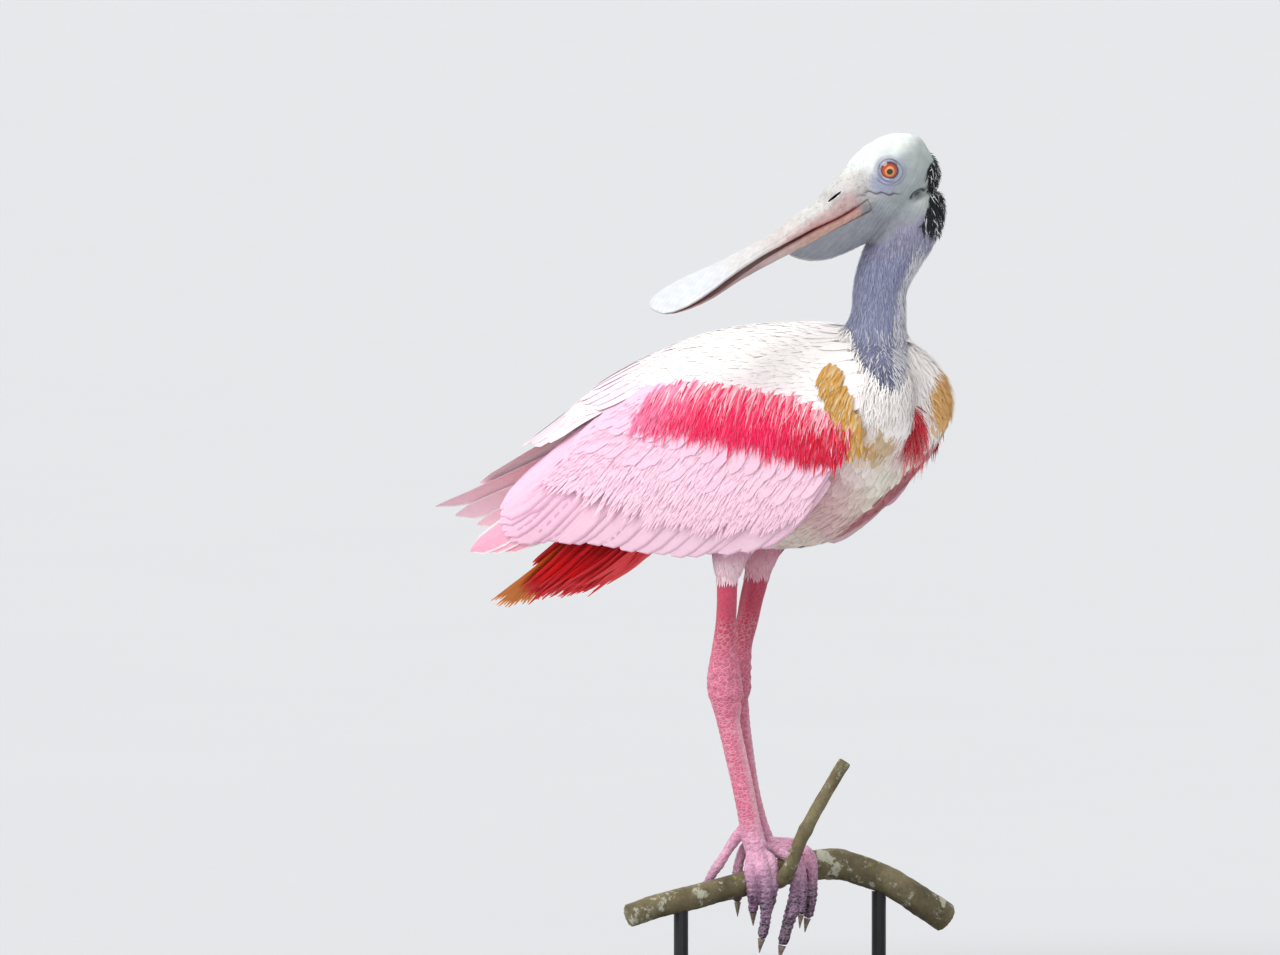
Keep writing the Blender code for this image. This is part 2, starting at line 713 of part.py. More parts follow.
def bed_vane(side, root, tip, width, lifts, tilt, shape, across=(-1, 0, 1)):
    """A feather lying on the folded-wing surface. Root and tip are x and degrees, lifts are at each end."""
    upper, lower = [], []
    for share, breadth in shape:
        x = root[0] + (tip[0] - root[0]) * share
        degrees = root[1] + (tip[1] - root[1]) * share
        radius = bed_radius(x, degrees)
        run = Vector((tip[0] - root[0], math.radians(tip[1] - root[1]) * radius)).normalized()
        front = Vector((-run.y, run.x))
        top, bottom = [], []
        for place in across:
            shift = place * breadth * width / 2
            px = x + front.x * shift
            pd = degrees + math.degrees(front.y * shift / radius)
            lift = lifts[0] + (lifts[1] - lifts[0]) * share + tilt * place * breadth
            top.append(bed_point(side, px, pd, lift + VANE / 2))
            bottom.append(bed_point(side, px, pd, lift - VANE / 2))
        upper.append(top)
        lower.append(bottom)
    return strip_solid("vane", upper, lower)


def arm_solid(name, side, finish=None, grow=0.0):
    """The plate of flesh and small coverts that the wing's feathers grow from."""
    outer, inner = [], []
    for i in range(ARM_STEPS + 1):
        share = i / ARM_STEPS
        x = ARM[0][0] + (ARM[-1][0] - ARM[0][0]) * (0.5 - 0.5 * math.cos(math.pi * share))
        low, high = curve_value(ARM, x)
        spread = math.degrees(grow / bed_radius(x, (low + high) / 2))
        low, high = low - spread, high + spread
        end = i in (0, ARM_STEPS)
        shove = grow * (1 if i == ARM_STEPS else -1 if i == 0 else 0)
        top, bottom = [], []
        for v in ARM_SHARES:
            edge = end or v in (0.0, 1.0)
            degrees = low + (high - low) * v
            out = ARM_RIM if edge else ARM_OUTER
            into = -ARM_RIM * 2 if edge else ARM_INNER
            top.append(bed_point(side, x + shove, degrees, out + grow))
            bottom.append(bed_point(side, x + shove, degrees, into - grow))
        outer.append(top)
        inner.append(bottom)
    made = strip_solid(name, outer, inner)
    if finish:
        made.data.materials.append(finish)
    return made


def feather_tier(side, count, roots, tips, shape, form):
    """A row of overlapping feathers, the rear ones over the front ones."""
    width, lift, sink = form
    across = (-1, 0, 1) if shape is FLIGHT_SHAPE else (-1, 1)
    made = []
    for i in range(count):
        share = i / (count - 1)
        size = width[0] + (width[1] - width[0]) * share
        root, tip = path_value(roots, share), path_value(tips, share)
        lifts = (lift - sink, lift)
        made.append(bed_vane(side, root, tip, size, lifts, SHINGLE, shape, across))
    return made


def make_wing(word, side):
    wing = arm_solid("wing_" + word, side, material("wing_pink", PALE_PINK, 0.7))
    tiers = (
        (FLIGHT_COUNT, FLIGHT_ROOTS, FLIGHT_TIPS[word], FLIGHT_SHAPE, FLIGHT_FORM),
        (GREATER_COUNT, GREATER_ROOTS, GREATER_TIPS, COVERT_SHAPE, GREATER_FORM),
        (MEDIAN_COUNT, MEDIAN_ROOTS, MEDIAN_TIPS, COVERT_SHAPE, MEDIAN_FORM),
        (BAND_COUNT, BAND_ROOTS, BAND_TIPS, LOCK_SHAPE, BAND_FORM),
        (PRIMARY_COUNT, PRIMARY_ROOTS, PRIMARY_TIPS[word], FLIGHT_SHAPE, PRIMARY_FORM),
    )
    vanes = []
    for count, roots, tips, shape, form in tiers:
        vanes += feather_tier(side, count, roots, tips, shape, form)
    return combine(wing, vanes, "UNION")


# Trunk, neck and head


def trunk_ring(x):
    top, bottom, width = curve_value(TRUNK, x)
    centre, height = (top + bottom) / 2, (top - bottom) / 2
    ring = []
    for j in range(TRUNK_SIDES):
        angle = 2 * math.pi * j / TRUNK_SIDES
        y = width * math.cos(angle)
        forward = max(0.0, (x - BREAST_GROOVE_START) / (TRUNK[-1][0] - BREAST_GROOVE_START))
        groove = BREAST_GROOVE * forward**2 * math.exp(-((y / BREAST_GROOVE_WIDTH) ** 2))
        ring.append(Vector((x - groove, y, centre + height * math.sin(angle))))
    return ring


def make_trunk():
    first, last = TRUNK[0][0], TRUNK[-1][0]
    rings = []
    for i in range(TRUNK_RINGS + 1):
        share = 0.5 - 0.5 * math.cos(math.pi * i / TRUNK_RINGS)
        rings.append(trunk_ring(first + (last - first) * share))
    finish = material("body_white", WHITE, 0.8)
    trunk = loft("torso", rings, finish)
    neck_base = tube("neck_base", NECK, 0.0, NECK_CUTS[0], NECK_STEPS, NECK_SIDES)
    return combine(trunk, [neck_base] + scapulars() + breast_tuft(), "UNION")


def scapulars():
    """Long feathers that cover the back between the wings."""
    made = []
    for side in (-1, 1):
        for i in range(SCAPULAR_COUNT):
            share = i / (SCAPULAR_COUNT - 1)
            if side > 0 and i == SCAPULAR_COUNT - 1:
                continue
            lift = SCAPULAR_LIFT + SCAPULAR_STEP * i + (GAP if side > 0 else 0.0)
            root, tip = path_value(SCAPULAR_ROOTS, share), path_value(SCAPULAR_TIPS, share)
            lifts = (lift - SCAPULAR_SINK, lift)
            made.append(
                bed_vane(side, root, tip, SCAPULAR_WIDTH, lifts, SHINGLE / 2, FLIGHT_SHAPE)
            )
    return made


def breast_tuft():
    """The hanging locks in the middle of the breast."""
    made = []
    for i in range(TUFT_COUNT):
        share = i / (TUFT_COUNT - 1) - 0.5
        drop = TUFT_STAGGER * (i % 2)
        top = Vector((TUFT_TOP[0], share * TUFT_SPREAD[0], TUFT_TOP[1] - drop))
        end = Vector((TUFT_END[0] + drop / 2, share * TUFT_SPREAD[1], TUFT_END[1] - drop))
        thick = Vector((LOCK_THICKNESS / 2, 0, 0))
        upper, lower = [], []
        for step, breadth in LOCK_SHAPE:
            middle = top.lerp(end, step) + Vector((TUFT_BULGE * math.sin(math.pi * step), 0, 0))
            half = Vector((0, LOCK_WIDTH / 2 * breadth, 0))
            upper.append([middle - half + thick, middle + half + thick])
            lower.append([middle - half - thick, middle + half - thick])
        made.append(strip_solid("lock", upper, lower))
    return made


def make_neck():
    finish = material("neck_slate", SLATE, 0.8)
    start = NECK_CUTS[0] + path_gap(NECK, NECK_CUTS[0])
    lower = tube("neck_lower", NECK, start, NECK_CUTS[1], NECK_STEPS, NECK_SIDES, finish)
    start = NECK_CUTS[1] + path_gap(NECK, NECK_CUTS[1])
    upper = tube("neck_upper", NECK, start, 1.0, NECK_STEPS, NECK_SIDES, finish)
    rooms = [skull_solid("head_room", ROOM)]
    rooms.append(bill_solid("pouch_room", POUCH, POUCH_FACETS, False, None, ROOM))
    rooms.append(bill_solid("bill_room", LOWER_BILL, LOWER_BILL_FACETS, False, None, ROOM))
    combine(upper, rooms, "DIFFERENCE")
    return [lower, upper]


def head_frame():
    """The head's own frame: x along the bill, y to the bird's left cheek, z through the crown."""
    turn, dip, roll = (math.radians(a) for a in (HEAD_TURN, HEAD_DIP, HEAD_ROLL))
    bill = Vector(
        (math.cos(dip) * math.cos(turn), -math.cos(dip) * math.sin(turn), -math.sin(dip))
    )
    crown = (Vector((0, 0, 1)) - bill * bill.z).normalized()
    cheek = crown.cross(bill)
    tipped = crown * math.cos(roll) + cheek * math.sin(roll)
    left = tipped.cross(bill)
    frame = Matrix((bill, left, tipped)).transposed().to_4x4()
    origin = Vector(HEAD_CENTRE) + tipped * BILL_AXIS_RISE
    return Matrix.Translation(origin) @ frame


def oval_ring(x, top, bottom, width, count, grow=0.0):
    centre, height = (top + bottom) / 2, (top - bottom) / 2 + grow
    return [
        Vector(
            (
                x,
                (width + grow) * math.cos(2 * math.pi * j / count),
                centre + height * math.sin(2 * math.pi * j / count),
            )
        )
        for j in range(count)
    ]


def skull_solid(name, grow=0.0, finish=None):
    frame = head_frame()
    first, last = SKULL[0][0], SKULL[-1][0]
    rings = []
    for i in range(SKULL_STEPS + 1):
        share = 1 - math.cos(math.pi / 2 * i / SKULL_STEPS)
        x = first + (last - first) * share
        ring = oval_ring(x, *curve_value(SKULL, x), SKULL_SIDES, grow)
        shove = -grow if i == 0 else 0.0
        rings.append([frame @ (p + Vector((shove, 0, 0))) for p in ring])
    return loft(name, rings, finish)


def half_ring(x, top, bottom, width, count, flat_bottom):
    """A section with one flat side, such as a mandible's."""
    ring = []
    height = top - bottom
    for j in range(count + 1):
        angle = math.pi * j / count
        rise = height * math.sin(angle) ** HORN_SECTION
        z = bottom + rise if flat_bottom else top - rise
        ring.append(Vector((x, width * math.cos(angle), z)))
    return ring


def bill_solid(name, table, facets, flat_bottom, finish=None, grow=0.0):
    """A mandible or the pouch. A long one has its steps closer together at the tip."""
    frame = head_frame()
    count, steps = facets
    start, last = BILL_BASE + GAP, table[-1][0]
    rings = []
    for i in range(steps + 1):
        share = i / steps if table is POUCH else math.sin(math.pi / 2 * i / steps)
        x = start + (last - start) * share
        top, bottom, width = curve_value(table, x)
        ring = half_ring(x, top + grow, bottom - grow, width + grow, count, flat_bottom)
        shove = grow * (1 if i == steps else -CUTTER_BACK if i == 0 else 0)
        rings.append([frame @ (p + Vector((shove, 0, 0))) for p in ring])
    return loft(name, rings, finish)


def make_head():
    frame = head_frame()
    skin = material("head_skin", HEAD_GREY, 0.6)
    head = skull_solid("head", 0.0, skin)
    iris = material("eye_red", EYE_RED, 0.1)
    lids, hollows, eyes = [], [], []
    for word, side in (("left", 1), ("right", -1)):
        centre = Vector((EYE_PLACE[0], side * EYE_PLACE[1], EYE_PLACE[2]))
        outward = Vector((EYE_AXIS[0], side * EYE_AXIS[1], EYE_AXIS[2])).normalized()
        turn = outward.to_track_quat("Z", "Y").to_matrix().to_4x4()
        lids.append(lid_ring(frame @ Matrix.Translation(centre) @ turn))
        socket_size, eye_size = (EYE_RADIUS + ROOM,) * 3, (EYE_RADIUS,) * 3
        hollows.append(ellipsoid("socket", centre, socket_size, None, BALL_SIDES, BALL_ROWS, frame))
        eyes.append(ellipsoid("eye_" + word, centre, eye_size, iris, BALL_SIDES, BALL_ROWS, frame))
        ear = Vector((EAR_PLACE[0], side * EAR_PLACE[1], EAR_PLACE[2]))
        hollows.append(ellipsoid("ear", ear, EAR_SIZE, None, SMALL_SIDES, SMALL_ROWS, frame))
    combine(head, lids, "UNION")
    combine(head, hollows, "DIFFERENCE")
    return [head] + eyes


def lid_ring(place):
    """Both lids as a ring of skin round the opening."""
    rise = math.sqrt(EYE_RADIUS**2 - LID_RADIUS**2) - LID_THICKNESS / 2
    points, faces = [], []
    for i in range(LID_STEPS):
        a = 2 * math.pi * i / LID_STEPS
        for j in range(LID_SIDES):
            b = 2 * math.pi * j / LID_SIDES
            r = LID_RADIUS + LID_THICKNESS * (LID_SETBACK + math.cos(b))
            z = rise + LID_THICKNESS * math.sin(b)
            points.append(place @ Vector((r * math.cos(a), LID_FLATNESS * r * math.sin(a), z)))
            k, m = (i + 1) % LID_STEPS, (j + 1) % LID_SIDES
            across = (i * LID_SIDES + j, k * LID_SIDES + j, k * LID_SIDES + m, i * LID_SIDES + m)
            faces.append(across)
    return add_object("lids", points, faces)


def make_bill():
    horn = material("bill_horn", BILL_GREY, 0.5)
    upper = bill_solid("bill_upper", UPPER_BILL, UPPER_BILL_FACETS, True, horn)
    lower = bill_solid("bill_lower", LOWER_BILL, LOWER_BILL_FACETS, False, horn)
    skin = material("pouch_grey", SLATE, 0.6)
    pouch = bill_solid("throat_pouch", POUCH, POUCH_FACETS, False, skin)
    room = bill_solid("bill_room", LOWER_BILL, LOWER_BILL_FACETS, False, None, ROOM)
    combine(pouch, [room], "DIFFERENCE")
    frame = head_frame()
    slits = []
    for side in (-1, 1):
        place = Vector((NOSTRIL_PLACE[0], side * NOSTRIL_PLACE[1], NOSTRIL_PLACE[2]))
        slit = ellipsoid("slit", (0, 0, 0), NOSTRIL_SIZE, None, SMALL_SIDES, SMALL_ROWS)
        lean = Matrix.Rotation(math.radians(NOSTRIL_TILT), 4, "Y")
        slit.data.transform(frame @ Matrix.Translation(place) @ lean)
        slits.append(slit)
    combine(upper, slits, "DIFFERENCE")
    return [upper, lower, pouch]


# Legs, feet and branch


def branch_frame():
    """x along the branch, y to the front where the toes hang, z up."""
    turn = math.radians(BRANCH_TURN)
    along = Vector((math.cos(turn), math.sin(turn), 0))
    front = Vector((math.sin(turn), -math.cos(turn), 0))
    return along, front


def branch_point(along_by, front_by, height):
    along, front = branch_frame()
    return along * along_by + front * front_by + Vector((0, 0, height))


def branch_solid(name, finish=None, grow=0.0):
    """The branch with the stub of its twig."""
    stems = []
    for table, steps in ((BRANCH, BRANCH_STEPS), (TWIG, TWIG_STEPS)):
        rows = [path_value(table, i / steps) for i in range(steps + 1)]
        places = [branch_point(*row[:3]) for row in rows]
        radii = [row[3] + grow for row in rows]
        stems.append(rod_curve(name, places, radii, ROUND_LEVEL, finish))
    wood, twig = stems
    return combine(wood, [twig], "UNION")


def toe_solid(name, rows):
    """A tapering toe through rows of the branch's own coordinates."""
    steps = len(rows)
    smooth = [path_value(rows, i / steps) for i in range(steps + 1)]
    points = [branch_point(*row[:3]) for row in smooth]
    radii = [row[3] for row in smooth]
    return rod_curve(name, points, radii, FINE_LEVEL), points, radii


def make_foot(word, leg, toes):
    finish = material("leg_red", LEG_RED, 0.6)
    horn = material("claw_horn", CLAW_BROWN, 0.5)
    start = TARSUS_END + path_gap(leg, TARSUS_END)
    foot = limb("foot_" + word, leg, start, 1.0, ANKLE_STEPS, finish)
    pad = ellipsoid("pad", leg[-1][:3], PAD_SIZE, None, SMALL_SIDES, SMALL_ROWS)
    pieces, claws = [pad], []
    for name, rows in toes.items():
        toe, points, radii = toe_solid("toe", rows)
        pieces.append(toe)
        claws.append(make_claw(f"claw_{word}_{name}", points, radii[-1], horn))
    combine(foot, pieces, "UNION")
    combine(foot, [branch_solid("branch_room", None, GAP)], "DIFFERENCE")
    return [foot] + claws


def make_claw(name, points, radius, finish):
    heading = (points[-1] - points[-2]).normalized()
    start = points[-1] + heading * GAP
    hook = (heading + Vector((0, 0, -CLAW_HOOK))).normalized()
    rows, radii = [], []
    for i in range(CLAW_STEPS + 1):
        share = i / CLAW_STEPS
        rows.append(start + heading.lerp(hook, share) * CLAW_LENGTH * share)
        radii.append(radius * CLAW_WIDTH * (1 - CLAW_TAPER * share))
    return rod_curve(name, rows, radii, FINE_LEVEL, finish)


def limb(name, leg, start, end, steps, finish=None):
    return tube(name, leg, start, end, steps, LEG_SIDES, finish, flat=LEG_FLATNESS)


def thigh_solid(name, thigh, finish=None, grow=0.0):
    return tube(name, thigh, 0.0, 1.0, THIGH_STEPS, THIGH_SIDES, finish, grow, THIGH_FLATNESS)


def make_leg(word, leg, thigh):
    finish = material("leg_red", LEG_RED, 0.6)
    feathered = thigh_solid("thigh_" + word, thigh, material("body_white", WHITE, 0.8))
    shank = limb("shank_" + word, leg, LEG_START, SHANK_END, SHANK_STEPS, finish)
    start = SHANK_END + path_gap(leg, SHANK_END)
    tarsus = limb("tarsus_" + word, leg, start, TARSUS_END, TARSUS_STEPS, finish)
    return [feathered, shank, tarsus]


# Tail


def tail_frame():
    dip = math.radians(TAIL_DIP)
    along = Vector((-math.cos(dip), 0, -math.sin(dip)))
    above = Vector((-math.sin(dip), 0, math.cos(dip)))
    return along, above


def tail_vane(offset, angle, length, width, lift, shape):
    """A tail feather that leaves the root straight and fans out towards its tip."""
    along, above = tail_frame()
    left = Vector((0, 1, 0))
    turn = math.radians(angle)
    upper, lower = [], []
    for share, breadth in shape:
        fan = turn * min(2 * share, 1.0)
        middle = along * length * share * math.cos(turn)
        middle = middle + left * (offset + length * share**2 * math.sin(turn))
        sideways = left * math.cos(fan) - along * math.sin(fan)
        arch = -TAIL_ARCH * math.sin(turn) ** 2 * share
        top, bottom = [], []
        for place in (-1, 1):
            raised = lift + arch + SHINGLE * place * breadth
            p = Vector(TAIL_ROOT) + middle + sideways * (place * breadth * width / 2)
            top.append(p + above * (raised + VANE / 2))
            bottom.append(p + above * (raised - VANE / 2))
        upper.append(top)
        lower.append(bottom)
    return strip_solid("vane", upper, lower)


def vent_vane(row, place):
    """A feather of the crimson rows under the tail."""
    start, end = path_value(VENT_ROOTS, row), path_value(VENT_TIPS, row)
    spread = VENT_SPREAD[0] + (VENT_SPREAD[1] - VENT_SPREAD[0]) * row
    root_rise, tip_rise = (rise * abs(place) for rise in VENT_CURL)
    root = Vector((start[0], place * spread, start[1] + root_rise))
    tip = Vector((end[0], place * spread * VENT_FAN, end[1] + tip_rise))
    heading = (tip - root).normalized()
    across = Vector((0, 1, 0))
    across = (across - heading * across.dot(heading)).normalized()
    above = across.cross(heading)
    upper, lower = [], []
    for share, breadth in COVERT_SHAPE:
        top, bottom = [], []
        for side in (-1, 1):
            point = root.lerp(tip, share) + across * side * breadth * VENT_WIDTH / 2
            bend = VENT_BEND * math.sin(math.pi * share)
            point = point + above * (SHINGLE * side * breadth - bend)
            top.append(point + above * VANE / 2)
            bottom.append(point - above * VANE / 2)
        upper.append(top)
        lower.append(bottom)
    return strip_solid("vane", upper, lower)


def tail_root(name, grow=0.0, finish=None):
    size = [r + grow for r in TAIL_ROOT_SIZE]
    root = ellipsoid(name, (0, 0, 0), size, finish, BALL_SIDES, BALL_ROWS)
    turn = Matrix.Rotation(math.radians(TAIL_ROOT_TILT), 4, "Y")
    middle = Vector(TAIL_ROOT) + Vector(TAIL_ROOT_SHIFT)
    root.data.transform(Matrix.Translation(middle) @ turn)
    return root


def make_tail():
    root = tail_root("tail", 0.0, material("tail_orange", ORANGE, 0.7))
    pieces = []
    for i in range(TAIL_COUNT):
        place = i / (TAIL_COUNT - 1) * 2 - 1
        offset, angle = place * TAIL_REACH, place * TAIL_SPREAD
        pieces.append(tail_vane(offset, angle, TAIL_LENGTH, TAIL_WIDTH, 0.0, FLIGHT_SHAPE))
    length, width = TAIL_COVERT_SIZE
    for i in range(TAIL_COVERTS):
        place = i / (TAIL_COVERTS - 1) * 2 - 1
        offset, angle = place * TAIL_REACH, place * TAIL_COVERT_SPREAD
        pieces.append(tail_vane(offset, angle, length, width, TAIL_COVERT_LIFT, COVERT_SHAPE))
    for row in range(VENT_ROWS):
        for i in range(VENT_COLUMNS):
            pieces.append(vent_vane(row / (VENT_ROWS - 1), i / (VENT_COLUMNS - 1) * 2 - 1))
    return combine(root, pieces, "UNION")


# Stand


def make_stand():
    metal = material("stand_black", STAND_BLACK, 0.5, 0.6)
    body = bmesh.new()
    bmesh.ops.create_cube(body, size=1.0)
    lift = BASE_SIZE[2] / 2 - FEET_HEIGHT
    place = Matrix.Translation((*BASE_CENTRE, lift)) @ Matrix.Diagonal((*BASE_SIZE, 1.0))
    body.transform(place)
    mesh = bpy.data.meshes.new("stand_base")
    body.to_mesh(mesh)
    body.free()
    mesh.materials.append(metal)
    base = bpy.data.objects.new("stand_base", mesh)
    bpy.data.collections[BIRD].objects.link(base)
    bevel = base.modifiers.new("rounded", "BEVEL")
    bevel.width = BASE_ROUNDING
    bevel.segments = 2
    rods = []
    floor = BASE_SIZE[2] - FEET_HEIGHT + GAP
    for i, along_by in enumerate(ROD_PLACES):
        row = curve_value(BRANCH, along_by)
        foot = branch_point(along_by, row[0], floor)
        head = branch_point(along_by, row[0], row[1])
        rod = rod_curve(f"stand_rod_{i + 1}", [foot, head], [ROD_RADIUS] * 2, ROUND_LEVEL, metal)
        combine(rod, [branch_solid("rod_room", None, GAP)], "DIFFERENCE")
        rods.append(rod)
    return [base] + rods


def main():
    clear_scene()
    for name in (BIRD, CUTTERS):
        bpy.context.scene.collection.children.link(bpy.data.collections.new(name))
    trunk = make_trunk()
    parts = [trunk]
    for word, side in (("right", -1), ("left", 1)):
        parts.append(make_wing(word, side))
        combine(trunk, [arm_solid("arm_room", side, None, ROOM)], "DIFFERENCE")
    parts += make_neck()
    parts += make_head()
    parts += make_bill()
    for word, leg, thigh, toes in (
        ("right", RIGHT_LEG, RIGHT_THIGH, RIGHT_TOES),
        ("left", LEFT_LEG, LEFT_THIGH, LEFT_TOES),
    ):
        parts += make_leg(word, leg, thigh)
        parts += make_foot(word, leg, toes)
        combine(trunk, [thigh_solid("thigh_room", thigh, None, ROOM)], "DIFFERENCE")
    parts.append(make_tail())
    combine(trunk, [tail_root("tail_room", TAIL_ROOT_ROOM)], "DIFFERENCE")
    parts.append(branch_solid("perch", material("bark", BARK, 0.9)))
    parts += make_stand()
    for obj in parts:
        obj.data.transform(Matrix.Translation((0, 0, FEET_HEIGHT)))
        obj.data.shade_smooth()
        obj.data.set_sharp_from_angle(angle=math.radians(SHARP_EDGE))


main()
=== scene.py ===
"""Looks of a life-size roseate spoonbill on a cut branch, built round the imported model.

Metres, +Z up. Places below are measured from the top of the branch, as the model's own sizes are, and
are lifted by FEET_HEIGHT when they are used.
"""

import math

import bmesh
import bpy
import numpy as np
from mathutils import Matrix, Vector
from mathutils.bvhtree import BVHTree


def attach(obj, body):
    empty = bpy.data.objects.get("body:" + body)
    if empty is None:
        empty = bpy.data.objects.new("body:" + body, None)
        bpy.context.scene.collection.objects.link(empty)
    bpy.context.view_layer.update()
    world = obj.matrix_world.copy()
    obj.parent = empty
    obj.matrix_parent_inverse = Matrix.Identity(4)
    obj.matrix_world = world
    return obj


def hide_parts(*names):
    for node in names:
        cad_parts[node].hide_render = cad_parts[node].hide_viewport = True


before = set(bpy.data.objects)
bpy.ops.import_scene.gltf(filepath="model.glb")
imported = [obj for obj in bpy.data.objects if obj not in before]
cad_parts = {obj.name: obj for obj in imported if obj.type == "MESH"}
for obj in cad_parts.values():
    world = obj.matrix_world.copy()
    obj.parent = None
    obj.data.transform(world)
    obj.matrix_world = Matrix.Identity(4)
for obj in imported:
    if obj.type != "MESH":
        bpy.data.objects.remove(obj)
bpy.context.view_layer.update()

FEET_HEIGHT = 0.090
FEET = np.array([0.0, 0.0, FEET_HEIGHT])
SIDES = (("right", -1), ("left", 1))

# Camera: the photograph's direction, and how its picture maps to metres
CAMERA_YAW = 35.0
CAMERA_RISE = 4.0
CAMERA_DISTANCE = 12.0
VIEW_WIDTH = 0.800
PIXELS_PER_METRE = 1600.0
FEET_PIXEL = (780.0, 862.0)
MIDDLE_PIXEL = (640.0, 477.5)

# Folded-wing surface: x, centre height, rise above it, drop below it, half width
WING_BED = (
    (-0.300, 0.180, 0.026, 0.034, 0.017),
    (-0.240, 0.197, 0.031, 0.038, 0.022),
    (-0.200, 0.211, 0.038, 0.046, 0.027),
    (-0.165, 0.226, 0.0455, 0.058, 0.034),
    (-0.130, 0.239, 0.057, 0.072, 0.041),
    (-0.090, 0.250, 0.066, 0.086, 0.048),
    (-0.045, 0.260, 0.071, 0.097, 0.053),
    (0.000, 0.266, 0.071, 0.100, 0.055),
    (0.040, 0.271, 0.067, 0.096, 0.054),
    (0.075, 0.277, 0.059, 0.080, 0.051),
    (0.095, 0.281, 0.049, 0.062, 0.046),
    (0.120, 0.284, 0.030, 0.030, 0.030),
)

# Trunk without the wings: x, top, bottom, half width
TRUNK = (
    (-0.172, 0.2360, 0.2350, 0.001),
    (-0.168, 0.250, 0.228, 0.010),
    (-0.150, 0.268, 0.217, 0.019),
    (-0.125, 0.2905, 0.207, 0.028),
    (-0.090, 0.3170, 0.199, 0.0385),
    (-0.050, 0.3310, 0.195, 0.0460),
    (0.000, 0.3365, 0.194, 0.0495),
    (0.035, 0.3375, 0.200, 0.0495),
    (0.062, 0.3370, 0.215, 0.0490),
    (0.082, 0.3340, 0.232, 0.0475),
    (0.096, 0.3275, 0.248, 0.0435),
    (0.106, 0.3160, 0.262, 0.0350),
    (0.1115, 0.3030, 0.276, 0.0200),
    (0.1135, 0.2920, 0.288, 0.0020),
)

# Neck path: x, y, z, radius
NECK = (
    (0.0480, 0.000, 0.2880, 0.0360),
    (0.0610, 0.000, 0.3090, 0.0300),
    (0.0700, 0.000, 0.3270, 0.0225),
    (0.0742, 0.000, 0.3440, 0.0176),
    (0.0752, 0.000, 0.3610, 0.0170),
    (0.0790, 0.001, 0.3735, 0.0178),
    (0.0850, 0.003, 0.3860, 0.0190),
    (0.0915, 0.006, 0.4000, 0.0200),
    (0.0950, 0.008, 0.4120, 0.0190),
    (0.0950, 0.009, 0.4210, 0.0160),
)

# Head, in its own frame: x along the bill, y to the left cheek, z through the crown. Angles in degrees
HEAD_CENTRE = (0.0903, 0.0, 0.4258)
HEAD_TURN = 131.6
HEAD_DIP = 27.0
HEAD_ROLL = 12.0
BILL_AXIS_RISE = 0.005
BILL_BASE = 0.0250
# Skull, bill and pouch: x, top, bottom, half width
SKULL = (
    (-0.0253, 0.0030, -0.0010, 0.0025),
    (-0.0245, 0.0125, -0.0060, 0.0075),
    (-0.0210, 0.0203, -0.0130, 0.0125),
    (-0.0155, 0.0246, -0.0170, 0.0165),
    (-0.0063, 0.0285, -0.0200, 0.0185),
    (0.0036, 0.0291, -0.0215, 0.0185),
    (0.0146, 0.0276, -0.0225, 0.0170),
    (0.0227, 0.0245, -0.0235, 0.0148),
    (0.0250, 0.0230, -0.0240, 0.0142),
)
UPPER_BILL = (
    (0.0250, 0.0223, 0.0030, 0.0140),
    (0.0355, 0.0188, 0.0014, 0.0129),
    (0.0420, 0.0167, 0.0007, 0.0123),
    (0.0500, 0.0127, 0.0007, 0.0118),
    (0.0635, 0.0107, 0.0016, 0.0112),
    (0.0737, 0.0087, 0.0015, 0.0105),
    (0.0857, 0.0063, 0.0014, 0.0101),
    (0.0980, 0.0058, 0.0015, 0.0101),
    (0.1120, 0.0052, 0.0013, 0.0124),
    (0.1270, 0.0042, 0.0010, 0.0165),
    (0.1410, 0.0034, 0.0006, 0.0210),
    (0.1530, 0.0028, 0.0003, 0.0230),
    (0.1630, 0.0024, 0.0001, 0.0216),
    (0.1695, 0.0021, 0.0000, 0.0173),
    (0.1732, 0.0016, 0.0000, 0.0105),
    (0.1746, 0.0012, 0.0001, 0.0035),
)
LOWER_BILL = (
    (0.0250, 0.0024, -0.0100, 0.0130),
    (0.0420, 0.0002, -0.0102, 0.0116),
    (0.0630, 0.0003, -0.0100, 0.0106),
    (0.0750, -0.0003, -0.0092, 0.0100),
    (0.0900, -0.0010, -0.0088, 0.0098),
    (0.1030, -0.0016, -0.0083, 0.0106),
    (0.1170, -0.0022, -0.0074, 0.0134),
    (0.1300, -0.0026, -0.0070, 0.0172),
    (0.1410, -0.0024, -0.0062, 0.0210),
    (0.1520, -0.0016, -0.0048, 0.0228),
    (0.1620, -0.0009, -0.0034, 0.0214),
    (0.1685, -0.0006, -0.0024, 0.0170),
    (0.1722, -0.0005, -0.0018, 0.0100),
    (0.1734, -0.0005, -0.0014, 0.0032),
)
POUCH = (
    (0.0200, -0.0060, -0.0245, 0.0122),
    (0.0270, -0.0060, -0.0265, 0.0123),
    (0.0350, -0.0060, -0.0270, 0.0116),
    (0.0430, -0.0060, -0.0270, 0.0108),
    (0.0530, -0.0060, -0.0263, 0.0098),
    (0.0620, -0.0060, -0.0247, 0.0086),
    (0.0690, -0.0060, -0.0218, 0.0072),
    (0.0755, -0.0060, -0.0175, 0.0056),
    (0.0817, -0.0060, -0.0115, 0.0040),
)
EYE_PLACE = (0.0050, 0.0122, 0.0135)
EYE_RADIUS = 0.0072
EYE_OUTWARD = (0.18, 1.0, 0.10)
LID_OPENING = (0.0034, 0.0052, 0.010)
EAR_PLACE = (-0.0050, 0.0160, -0.0095)
NOSTRIL_PLACE = (0.0434, 0.0085, 0.0126)
